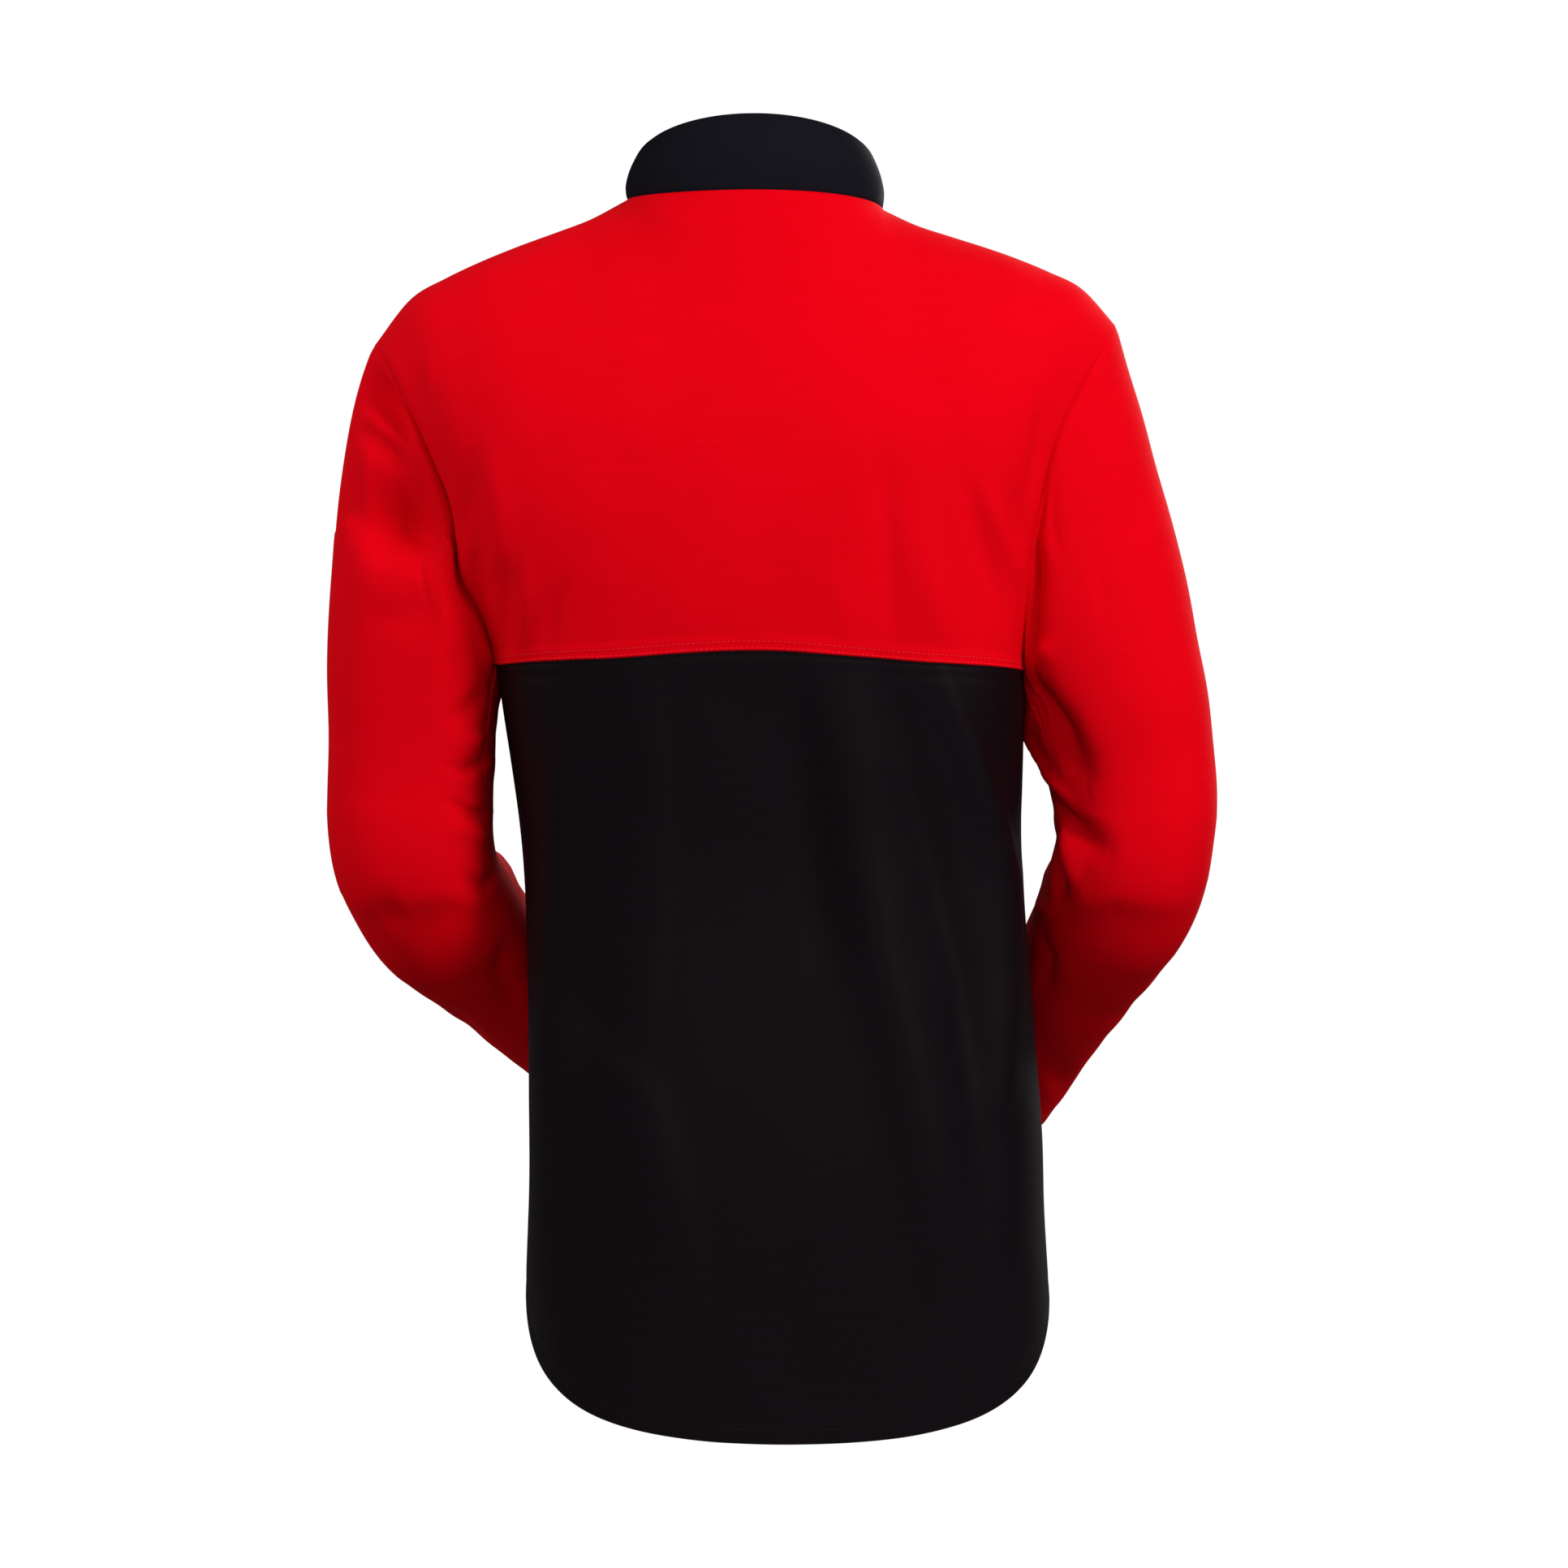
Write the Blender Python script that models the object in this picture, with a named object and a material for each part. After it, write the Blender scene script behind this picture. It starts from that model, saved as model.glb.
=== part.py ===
"""A long-sleeved knit shirt with a stand collar and a shirt-tail hem, in the hollow form it has when worn.

Red upper back and front, black lower back and front, a black collar and two red sleeves whose elbows
are bent, so that the forearms pass forward beside the body. Each piece is a wall of cloth, and each
sleeve is three of them, upper arm, elbow and forearm, that lie end to end.
+Z is up, the front faces -Y and the wearer's left is +X. The origin lies between the two points where
the shoulder seams meet the collar. Tables and sizes are in millimetres.
"""

import math

import bpy
import numpy as np

NAME = "long_sleeve_shirt"
MM = 0.001

# Cloth
JERSEY = 1.6  # one layer of knit
COLLAR_CLOTH = 3.0  # the collar is folded double
SEAM_GAP = 0.3  # between two pieces that are sewn together

# How finely the walls are divided
SHOULDER_STEPS = 7  # columns along each shoulder seam
NECK_STEPS = 12  # columns along half of the neckline
COLUMNS = 2 * SHOULDER_STEPS + NECK_STEPS
LOWER_ROWS = 19  # hem to underarm
ARM_ROWS = 14  # underarm to shoulder
YOKE_ROW = 2  # the row above the underarm where red meets black
RELAX_ROWS = 9  # below the neckline, the rows whose bends are evened out
RELAX_PASSES = 8
UPPER_ARM_RINGS = 10
ELBOW_RINGS = 5
FOREARM_RINGS = 7
SLEEVE_PARTS = (
    # name, first ring, last ring
    ("upper", 0, UPPER_ARM_RINGS),
    ("elbow", UPPER_ARM_RINGS, UPPER_ARM_RINGS + ELBOW_RINGS),
    ("lower", UPPER_ARM_RINGS + ELBOW_RINGS, UPPER_ARM_RINGS + ELBOW_RINGS + FOREARM_RINGS),
)
COLLAR_RINGS = 3

# Body: how far the cloth lies from the middle at each height
SIDE_SEAM_Y = -3
FULLNESS = 0.035  # how much squarer than an ellipse a section is
BODY = (
    # height, left, right, back, front
    (-770, 144, -177, 106, -111),
    (-670, 145, -177, 108, -112),
    (-610, 143, -174, 108, -113),
    (-560, 143, -172, 105, -113),
    (-510, 143, -168, 99, -112),
    (-470, 144, -165, 94, -110),
    (-430, 145, -162, 92, -109),
    (-390, 148, -160, 94, -110),
    (-350, 153, -161, 99, -113),
    (-300, 160, -162, 107, -118),
    (-250, 166, -168, 114, -121),
    (-200, 172, -174, 117, -119),
    (-150, 178, -180, 115, -112),
    (-100, 184, -186, 109, -102),
    (10, 190, -190, 98, -84),
)
HEM_SIDE = -664  # the hem at the side seams
TAIL_DROP = {"back": 86, "front": 70}
TAIL_CURVE = 2.15
HEM_ROUNDING = 0.05  # the share of a panel over which the hem turns at the side seam

# Armholes and shoulders
UNDERARM_Z = {"left": -297, "right": -305}
SHOULDER_TIP = {"left": (238, 0, -86), "right": (-218, 0, -74)}
ARMHOLE_SCOOP = {"left": 11, "right": 20}  # how far the seam curves in towards the body
ARMHOLE_DEPTH = {"back": 66, "front": 60}
YOKE_ANGLE = 27  # how far up round the armhole the colour seam starts, in degrees
YOKE_SHARE = 0.07  # how far up the middle from underarm level it lies
YOKE_ARCH = 0.28  # how much of that it loses towards the armholes
SHOULDER_DROP = (
    # share of the way from collar to tip, share of the drop
    (0.0, 0.0),
    (0.13, 0.125),
    (0.38, 0.29),
    (0.66, 0.50),
    (0.85, 0.68),
    (0.95, 0.84),
    (1.0, 1.0),
)

# Neckline and collar: each reaches this far from the neck's middle
NECK_X = 4
NECK = {"half": 79, "back": 63, "front": -72, "side_y": 0}
NECK_Z = {"left": 3, "right": -3, "back": 2, "front": -70}
COLLAR_TOP = {"half": 73, "back": 50, "front": -60, "side_y": -8}
COLLAR_TOP_Z = {"side": 27, "back": 50, "front": -26}
COLLAR_BULGE = 3.5

# Sleeves: the ring where the elbow starts to bend, then the forearm
ELBOW = {
    "left": {"x": 216.5, "y": -7, "z": -374, "across": 51, "deep": 57, "bend": 72},
    "right": {"x": -230.5, "y": -5, "z": -378, "across": 50, "deep": 57, "bend": 66},
}
FOREARM = {
    "left": {"inward": 0.44, "forward": 0.74, "length": 205},
    "right": {"inward": 0.30, "forward": 0.735, "length": 205},
}
FOREARM_SIZES = (
    # share of the forearm, half width, half depth
    (0.0, 46, 53),
    (0.3, 40, 45),
    (0.6, 36, 39),
    (1.0, 32, 34),
)
SLEEVE_HEAD = {"left": (0.14, 0.42), "right": (-0.03, 0.30)}  # how it leaves the underarm, the tip

# The largest folds of the body, as seen on the panel: x and z of both ends
BODY_FOLDS = {
    "back": (
        # x0, z0, x1, z1, half width, height
        (-62, -270, -84, -425, 14, 5.5),
        (-84, -425, -118, -650, 15, 5.0),
        (-36, -280, -50, -480, 18, -4.5),
        (10, -285, -4, -520, 30, 3.5),
        (78, -295, 66, -490, 19, -4.5),
        (-118, -285, -152, -390, 12, 4.5),
        (-104, -320, -146, -500, 14, -5.0),
        (112, -480, 46, -660, 26, -4.5),
        (158, -165, 158, -278, 12, -4.5),
        (140, -200, 139, -290, 11, 4.5),
        (122, -175, 122, -272, 12, -3.5),
        (-66, -135, -86, -260, 18, -3.5),
        (-137, -160, -158, -255, 12, 4.0),
        (-150, -100, -166, -170, 12, -3.5),
    ),
    "front": (
        (70, -285, 92, -480, 16, 5.0),
        (92, -480, 110, -650, 16, 4.5),
        (36, -300, 48, -500, 18, -4.5),
        (-20, -300, -8, -560, 28, 3.5),
        (-84, -300, -72, -520, 18, -4.5),
        (-116, -300, -142, -420, 13, 4.5),
        (122, -160, 146, -280, 13, -4.5),
        (-118, -160, -142, -275, 13, -4.5),
        (64, -140, 90, -260, 18, -3.5),
        (-40, -520, -104, -650, 24, -4.0),
    ),
}
# The largest folds of the sleeves: along from 0 at the armhole to 1 at the hem, round from 0 at the
# underarm seam by 90 at the back to 180 at the outside
SLEEVE_FOLDS = {
    "left": (
        # along0, round0, along1, round1, half width, height
        (0.10, 150, 0.13, 90, 9, -4.0),
        (0.16, 160, 0.22, 85, 9, 3.0),
        (0.24, 165, 0.28, 75, 12, -5.0),
        (0.36, 100, 0.50, 95, 8, -2.5),
        (0.60, 20, 0.57, 80, 8, -4.0),
        (0.66, 15, 0.64, 75, 7, 3.5),
        (0.70, 10, 0.70, 80, 8, -4.5),
        (0.62, 340, 0.60, 280, 8, -4.0),
        (0.70, 345, 0.70, 285, 8, 4.0),
        (0.30, 200, 0.36, 270, 11, -4.0),
        (0.84, 60, 0.90, 130, 8, -2.5),
    ),
    "right": (
        (0.20, 40, 0.32, 75, 11, -4.5),
        (0.34, 12, 0.48, 75, 10, -6.0),
        (0.44, 15, 0.54, 90, 8, 4.5),
        (0.54, 15, 0.62, 85, 9, -6.0),
        (0.66, 25, 0.66, 90, 9, 4.0),
        (0.71, 15, 0.72, 80, 8, -5.0),
        (0.60, 345, 0.62, 280, 8, -4.0),
        (0.70, 345, 0.70, 285, 8, 4.0),
        (0.16, 140, 0.34, 110, 10, -3.0),
        (0.30, 200, 0.38, 265, 11, -4.0),
        (0.84, 50, 0.88, 120, 8, -2.5),
    ),
}

RED = (0.78, 0.0, 0.005, 1)
BLACK = (0.008, 0.007, 0.009, 1)
SIDES = (("left", 1), ("right", -1))


def column(table, index):
    return np.array([row[index] for row in table], float)


def curve(at, xs, ys):
    """A smooth curve through a table's points, read at each value of at."""
    slopes = np.gradient(ys, xs)
    at = np.clip(at, xs[0], xs[-1])
    k = np.clip(np.searchsorted(xs, at) - 1, 0, len(xs) - 2)
    step = xs[k + 1] - xs[k]
    u = (at - xs[k]) / step
    start = ys[k] * (1 + 2 * u) * (1 - u) ** 2 + slopes[k] * step * u * (1 - u) ** 2
    end = ys[k + 1] * u * u * (3 - 2 * u) + slopes[k + 1] * step * u * u * (u - 1)
    return start + end


def body_at(z, name):
    names = ("height", "left", "right", "back", "front")
    return curve(z, column(BODY, 0), column(BODY, names.index(name)))


def ease(share, start=0.0, end=1.0):
    u = np.clip((share - start) / (end - start), 0, 1)
    return u * u * (3 - 2 * u)


def round_section(turn):
    """Across and out on a squarish half ellipse, from turn 0 at the left to pi at the right."""
    across = (np.cos(turn) - FULLNESS * np.cos(3 * turn)) / (1 - FULLNESS)
    out = (np.sin(turn) + FULLNESS * np.sin(3 * turn)) / (1 - FULLNESS)
    return across, out


def section_out(across):
    """How far out the section lies at each place across."""
    turns = np.linspace(0, math.pi, 181)
    across_at, out_at = round_section(turns)
    return np.interp(across, across_at[::-1], out_at[::-1])


def stack(x, y, z):
    return np.stack(np.broadcast_arrays(x, y, z), axis=-1).astype(float)


def neck_ring(face, turns, ring, heights):
    """Points on half of the neckline or of the collar's top edge."""
    across, out = np.cos(turns), np.sin(turns)
    x = NECK_X + ring["half"] * across
    y = ring["side_y"] + (ring[face] - ring["side_y"]) * out
    side = heights.get("side")
    if side is None:
        side = heights["left"] * (1 + across) / 2 + heights["right"] * (1 - across) / 2
    if face == "back":
        z = side + (heights["back"] - side) * out
    else:
        z = side - (heights["back"] - side) * out
        z = z + (heights["front"] + heights["back"] - 2 * side) * out**2
    return stack(x, y, z)


def top_edge(face):
    """Shoulder seam, half the neckline and the other shoulder seam, from the left tip to the right."""
    neck = neck_ring(face, np.linspace(0, math.pi, NECK_STEPS + 1), NECK, NECK_Z)
    share = np.linspace(0, 1, SHOULDER_STEPS + 1)
    drop = curve(share, column(SHOULDER_DROP, 0), column(SHOULDER_DROP, 1))
    lines = {}
    for side, start in (("left", neck[0]), ("right", neck[-1])):
        tip = np.array(SHOULDER_TIP[side], float)
        x, y = (start[i] + (tip[i] - start[i]) * share for i in (0, 1))
        lines[side] = stack(x, y, start[2] + (tip[2] - start[2]) * drop)
    return np.concatenate([lines["left"][::-1], neck[1:-1], lines["right"]])


def lower_rows(face):
    """Rows of points from the hem up to the underarm."""
    share = np.linspace(0, 1, COLUMNS + 1)
    from_side = np.hypot(1 - abs(2 * share - 1), HEM_ROUNDING) - HEM_ROUNDING
    from_side /= from_side.max()
    hem = HEM_SIDE - TAIL_DROP[face] * (1 - (1 - from_side) ** TAIL_CURVE)
    underarm = UNDERARM_Z["left"] + (UNDERARM_Z["right"] - UNDERARM_Z["left"]) * share
    up = np.linspace(0, 1, LOWER_ROWS + 1)[:, None]
    z = hem + (underarm - hem) * up
    across, out = round_section(math.pi * share)
    left, right = body_at(z, "left"), body_at(z, "right")
    x = (left + right) / 2 + (left - right) / 2 * across
    y = SIDE_SEAM_Y + (body_at(z, face) - SIDE_SEAM_Y) * out
    return stack(x, y, z)


def armhole_x(side, up):
    """The armhole seam's x at a share of the height between underarm and tip."""
    low = body_at(np.array(float(UNDERARM_Z[side])), side)
    toward = 1 if side == "left" else -1
    scoop = ARMHOLE_SCOOP[side] * np.sin(math.pi * np.clip(up, 0, 1) ** 0.9)
    return low + (SHOULDER_TIP[side][0] - low) * up - toward * scoop


def heights_up(rows):
    """The share of the height that each row reaches in each column of the upper body."""
    count = ARM_ROWS - YOKE_ROW
    angle = np.concatenate(
        [
            np.linspace(0, YOKE_ANGLE, YOKE_ROW + 1)[:-1],
            np.linspace(YOKE_ANGLE, 180, count + 1),
        ]
    )
    level = np.concatenate(
        [
            np.linspace(0, YOKE_SHARE, YOKE_ROW + 1)[:-1],
            np.linspace(YOKE_SHARE, 1, count + 1),
        ]
    )
    edge = (1 - np.cos(np.radians(angle))) / 2
    crowded = 1 - (1 - level) ** 2
    shoulder = level + (crowded - level) * ease(level, YOKE_SHARE, 0.6)
    shoulder = shoulder * (1 - YOKE_ARCH * (1 - ease(level, YOKE_SHARE, 0.4)))
    from_side = np.minimum(np.arange(COLUMNS + 1), COLUMNS - np.arange(COLUMNS + 1))
    at_edge = np.clip(1 - from_side / 3, 0, 1) ** 2
    at_neck = ease(from_side, SHOULDER_STEPS, COLUMNS / 2)
    mixed = shoulder[:, None] * (1 - at_neck) + level[:, None] * at_neck
    return (mixed * (1 - at_edge) + edge[:, None] * at_edge)[rows], at_neck


def upper_rows(face, first):
    """Rows of points from above the underarm up to the shoulder seams and the neckline."""
    top = top_edge(face)
    up, at_neck = heights_up(slice(1, None))
    share = np.linspace(0, 1, COLUMNS + 1)
    z = first[:, 2] + (top[:, 2] - first[:, 2]) * up
    left, right = armhole_x("left", up), armhole_x("right", up)
    middle, half = (left + right) / 2, (left - right) / 2
    depth = body_at(z, face) - SIDE_SEAM_Y
    edge_depth = ARMHOLE_DEPTH[face] * 2 * np.sqrt(np.minimum(up, 0.5) * (1 - np.minimum(up, 0.5)))
    edge_turn = np.arcsin(np.clip(edge_depth / abs(depth), 0, 0.95))
    across, _ = round_section(edge_turn + (math.pi - 2 * edge_turn) * share)
    across_0, out_0 = round_section(edge_turn)
    tips = (top[0, 0] + top[-1, 0]) / 2, (top[0, 0] - top[-1, 0]) / 2
    at_top = (top[:, 0] - tips[0]) / tips[1]
    place = across / across_0 * (1 - ease(up)) + at_top * ease(up)
    x = middle + half * place
    out = section_out(place * across_0)
    sign = 1 if face == "back" else -1
    edge_y = sign * edge_depth + SIDE_SEAM_Y * (1 - up)
    y = edge_y + (body_at(z, face) - edge_y) * (out - out_0) / (1 - out_0)
    left_over = np.clip((1 - up) * 2, 0, 1)
    over_shoulder = np.sqrt(left_over * (2 - left_over))
    beside_neck = np.sin(left_over * math.pi / 2)
    reach = over_shoulder * (1 - at_neck) + beside_neck * at_neck
    y = top[:, 1] + (y - top[:, 1]) * reach
    rows = stack(x, y, z)
    rows[-1] = top
    return rows


def grid_normals(grid, closed):
    """Unit normals of a grid whose columns times rows point outwards."""
    if closed:
        along = np.roll(grid, -1, axis=1) - np.roll(grid, 1, axis=1)
    else:
        along = np.gradient(grid, axis=1)
    normal = np.cross(along, np.gradient(grid, axis=0))
    return normal / np.maximum(np.linalg.norm(normal, axis=-1, keepdims=True), 1e-9)


def relaxed(grid):
    """The grid with its bends evened out beside both neck points."""
    rows, columns = np.arange(len(grid))[:, None], np.arange(COLUMNS + 1)
    from_side = np.minimum(columns, COLUMNS - columns)
    near = ease(5 - abs(from_side - SHOULDER_STEPS - 1), 0, 4)
    below = len(grid) - 1 - rows
    near = near * ease(RELAX_ROWS - below, 0, 6) * ease(below, 0, 3)
    share = near[1:-1, 1:-1, None]
    for _ in range(RELAX_PASSES):
        beside = (grid[1:-1, 2:] + grid[1:-1, :-2]) / 2
        above = (grid[2:, 1:-1] + grid[:-2, 1:-1]) / 2
        grid[1:-1, 1:-1] += share * ((beside + above) / 2 - grid[1:-1, 1:-1])
    return grid


def fold_heights(places, folds):
    """How far each fold raises or sinks the cloth, at places given as pairs."""
    total = np.zeros(places.shape[:-1])
    for x0, z0, x1, z1, half_width, height in folds:
        start, run = np.array((x0, z0), float), np.array((x1 - x0, z1 - z0), float)
        along = (places - start) @ run / (run @ run)
        nearest = start + np.clip(along, 0, 1)[..., None] * run
        off = np.linalg.norm(places - nearest, axis=-1)
        ends = 1 - 0.7 * np.clip(abs(2 * along - 1), 0, 1) ** 2
        total += height * ends * np.exp(-((off / half_width) ** 2))
    return total


def body_panel(face):
    """The whole back or front as one grid, rows upwards, with its folds."""
    lower = lower_rows(face)
    grid = relaxed(np.concatenate([lower, upper_rows(face, lower[-1])]))
    share = np.linspace(0, 1, COLUMNS + 1)
    from_edge = ease(1 - abs(2 * share - 1), 0, 0.22)
    rows = np.arange(len(grid))[:, None]
    from_top = ease(len(grid) - 1 - rows, 0, 4)
    sign = 1 if face == "back" else -1
    height = fold_heights(grid[..., [0, 2]], BODY_FOLDS[face]) * from_edge * from_top
    return grid + sign * grid_normals(grid, False) * height[..., None]


def armhole(side, back, front):
    """The armhole's points from the underarm up the back, over the tip and down the front."""
    edge = 0 if side == "left" else -1
    rise, fall = back[LOWER_ROWS:, edge], front[LOWER_ROWS:, edge]
    return np.concatenate([rise, fall[-2:0:-1]])


def turned(vectors, axis, angle):
    """Vectors turned about a unit axis."""
    c, s = math.cos(angle), math.sin(angle)
    along = (vectors @ axis)[:, None] * axis
    return vectors * c + np.cross(axis, vectors) * s + along * (1 - c)


def sleeve(side, toward, start):
    """A sleeve as rings of points, from the armhole to its hem."""
    sizes, arm = ELBOW[side], FOREARM[side]
    turns = np.linspace(0, 2 * math.pi, len(start), endpoint=False)
    centre = np.array((sizes["x"], sizes["y"], sizes["z"]), float)
    down = np.array((0.0, 0.0, -1.0))
    inward, forward = arm["inward"], arm["forward"]
    sink = math.sqrt(1 - inward**2 - forward**2)
    ahead = np.array((-toward * inward, -forward, -sink))
    # Unit ring: 0 at the underarm side, a quarter turn later the back, half a turn later the outside
    ring = stack(-toward * np.cos(turns), np.sin(turns), 0 * turns)
    scale = np.array((sizes["across"], sizes["deep"], 1.0))
    elbow = centre + ring * scale
    leave, over = SLEEVE_HEAD[side]
    out = (leave + (over - leave) * (1 - np.cos(turns)) / 2)[:, None]
    leaving = down + toward * out * np.array((1.0, 0, 0)) + 0.12 * ring * (0, 1, 0)
    leaving /= np.linalg.norm(leaving, axis=1, keepdims=True)
    reach = np.linalg.norm(elbow - start, axis=1)[:, None]
    rings = []
    for share in np.linspace(0, 1, UPPER_ARM_RINGS + 1):
        a, b = 1 - share, share
        first = start * (1 + 2 * b) * a * a + leaving * reach * 0.85 * b * a * a
        last = elbow * b * b * (3 - 2 * b) - down * reach * b * b * a
        rings.append(first + last)
    bend = math.acos(float(down @ ahead))
    axis = np.cross(down, ahead)
    axis /= np.linalg.norm(axis)
    pivot = centre + sizes["bend"] * np.cross(axis, down)
    slim = np.array((*FOREARM_SIZES[0][1:], 1.0))
    for share in np.linspace(0, 1, ELBOW_RINGS + 1)[1:]:
        moved = pivot + turned((centre - pivot)[None], axis, bend * share)[0]
        rings.append(moved + turned(ring * (scale + (slim - scale) * share), axis, bend * share))
    middle, frame = moved, turned(ring, axis, bend)
    across = turned(np.array(((1.0, 0, 0),)), axis, bend)[0]
    deep = turned(np.array(((0, 1.0, 0),)), axis, bend)[0]
    for share in np.linspace(0, 1, FOREARM_RINGS + 1)[1:]:
        half = curve(share, column(FOREARM_SIZES, 0), column(FOREARM_SIZES, 1))
        depth = curve(share, column(FOREARM_SIZES, 0), column(FOREARM_SIZES, 2))
        x, y = (frame @ across)[:, None] * across, (frame @ deep)[:, None] * deep
        rings.append(middle + ahead * arm["length"] * share + half * x + depth * y)
    return np.array(rings)


def folded_sleeve(side, toward, start):
    """The sleeve with its folds, its columns ordered so that columns times rows point outwards."""
    rings = sleeve(side, toward, start)
    count = rings.shape[1]
    steps = np.linalg.norm(np.diff(rings, axis=0), axis=-1).mean(axis=1)
    along = np.concatenate([[0], np.cumsum(steps)])
    length = along[-1]
    girth = np.linalg.norm(rings - np.roll(rings, 1, axis=1), axis=-1).sum(axis=1)
    degrees = np.arange(count) * 360 / count
    height = np.zeros(rings.shape[:2])
    for fold in SLEEVE_FOLDS[side]:
        along_0, round_0, along_1, round_1, half_width, tall = fold
        middle_turn = (round_0 + round_1) / 2
        off = (degrees - middle_turn + 180) % 360 - 180
        arc = off[None] / 360 * girth[:, None]
        places = np.stack(np.broadcast_arrays(along[:, None], arc), axis=-1)
        around = (round_1 - round_0) / 2 / 360 * girth.mean()
        ends = (along_0 * length, -around, along_1 * length, around, half_width, tall)
        height += fold_heights(places, (ends,))
    height *= (ease(along, 0, 45) * ease(length - along, 0, 30))[:, None]
    if toward < 0:
        rings, height = (np.roll(part[:, ::-1], 1, axis=1) for part in (rings, height))
    return rings + grid_normals(rings, True) * height[..., None]


def collar(back, front):
    """The stand collar as rings, from the neckline up to its top edge."""
    first, last = SHOULDER_STEPS, SHOULDER_STEPS + NECK_STEPS
    bottom = np.concatenate([back[-1, first : last + 1], front[-1, first + 1 : last][::-1]])
    turns = np.linspace(0, math.pi, NECK_STEPS + 1)
    rear = neck_ring("back", turns, COLLAR_TOP, COLLAR_TOP_Z)
    fore = neck_ring("front", turns, COLLAR_TOP, COLLAR_TOP_Z)
    top = np.concatenate([rear, fore[1:-1][::-1]])
    outward = top - top.mean(axis=0)
    outward[:, 2] = 0
    outward /= np.linalg.norm(outward, axis=1, keepdims=True)
    shares = np.linspace(0, 1, COLLAR_RINGS + 1)
    return np.array(
        [
            bottom + (top - bottom) * u + outward * COLLAR_BULGE * math.sin(math.pi * u)
            for u in shares
        ]
    )


def edge_loops(rows, columns, closed):
    """The free edges of a grid as lists of places, with the cloth on the left when seen from outside."""
    if closed:
        first = [(0, c) for c in range(columns)]
        return [first, [(rows - 1, c) for c in reversed(range(columns))]]
    low = [(0, c) for c in range(columns - 1)]
    right = [(r, columns - 1) for r in range(rows - 1)]
    high = [(rows - 1, c) for c in range(columns - 1, 0, -1)]
    left = [(r, 0) for r in range(rows - 1, 0, -1)]
    return [low + right + high + left]


def quads(rows, columns, closed):
    last = columns if closed else columns - 1
    for r in range(rows - 1):
        for c in range(last):
            d = (c + 1) % columns
            yield (r, c), (r, d), (r + 1, d), (r + 1, c)


def group_of(name):
    return name.split("_")[0].replace("front", "body").replace("back", "body")


def place_key(point):
    return tuple(np.round(point, 2))


def unit(vectors):
    return vectors / np.maximum(np.linalg.norm(vectors, axis=-1, keepdims=True), 1e-9)


def normals_at_places(grids):
    """For each place, the unit normal of each group of pieces that meets there."""
    sums = {}
    for name, (grid, closed) in grids.items():
        for corners in quads(*grid.shape[:2], closed):
            a, b, c, d = (grid[place] for place in corners)
            normal = np.cross(c - a, d - b)
            for point in (a, b, c, d):
                found = sums.setdefault(place_key(point), {})
                group = group_of(name)
                found[group] = found.get(group, 0) + normal
    return {key: {g: unit(n) for g, n in found.items()} for key, found in sums.items()}


def piece_normals(name, grid, places):
    """The direction of the wall's thickness, and the one that the pieces on a seam share.

    Two pieces that meet in a gentle angle share their thickness there. In a sharp valley, such as
    under the arm, each keeps its own.
    """
    own = np.zeros(grid.shape)
    meeting = np.zeros(grid.shape)
    shared = np.zeros(grid.shape[:2], bool)
    group = group_of(name)
    for place in np.ndindex(grid.shape[:2]):
        found = places[place_key(grid[place])]
        mine = found[group]
        others = [n for g, n in found.items() if g != group]
        own[place] = mine + sum(n * ease(mine @ n, 0.0, 0.5) for n in others)
        meeting[place] = mine + sum(others)
        shared[place] = bool(others)
    return unit(own), unit(meeting), shared


def drawn_back(grid, own, meeting, shared, closed):
    """The grid with its free edges drawn back by half the gap that a seam leaves."""
    rows, columns = grid.shape[:2]
    corners = {(0, 0), (0, columns - 1), (rows - 1, 0), (rows - 1, columns - 1)}
    outer = grid.copy()
    for loop in edge_loops(rows, columns, closed):
        inward = []
        for k, place in enumerate(loop):
            after = loop[(k + 1) % len(loop)]
            normal = meeting if shared[place] and shared[after] else own
            run = grid[after] - grid[place]
            inward.append(unit(np.cross(normal[place] + normal[after], run)))
        for k, place in enumerate(loop):
            both = inward[k - 1] + inward[k]
            if closed or place not in corners:
                both = unit(both)
            outer[place] += both * SEAM_GAP / 2
    return outer


def wall(name, outer, normals, closed, thickness, colour):
    """A closed wall of cloth as an object, from the points of its outer face."""
    rows, columns = outer.shape[:2]
    inner = outer - normals * thickness
    points = np.concatenate([outer.reshape(-1, 3), inner.reshape(-1, 3)]) * MM
    count = rows * columns

    def index(place):
        return place[0] * columns + place[1]

    faces = []
    for a, b, c, d in quads(rows, columns, closed):
        a, b, c, d = (index(place) for place in (a, b, c, d))
        faces += [(a, b, c), (a, c, d)]
        faces += [(c + count, b + count, a + count), (d + count, c + count, a + count)]
    for loop in edge_loops(rows, columns, closed):
        for k, place in enumerate(loop):
            a, b = index(place), index(loop[(k + 1) % len(loop)])
            faces += [(b, a, a + count), (b, a + count, b + count)]
    mesh = bpy.data.meshes.new(name)
    mesh.from_pydata(points.tolist(), [], faces)
    mesh.shade_smooth()
    mesh.materials.append(cloth(name, colour))
    return bpy.data.objects.new(name, mesh)


def cloth(name, colour):
    material = bpy.data.materials.new(f"{name} knit")
    material.use_nodes = True
    shader = material.node_tree.nodes["Principled BSDF"]
    shader.inputs["Base Color"].default_value = colour
    shader.inputs["Roughness"].default_value = 0.85
    shader.inputs["Metallic"].default_value = 0.0
    return material


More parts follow.
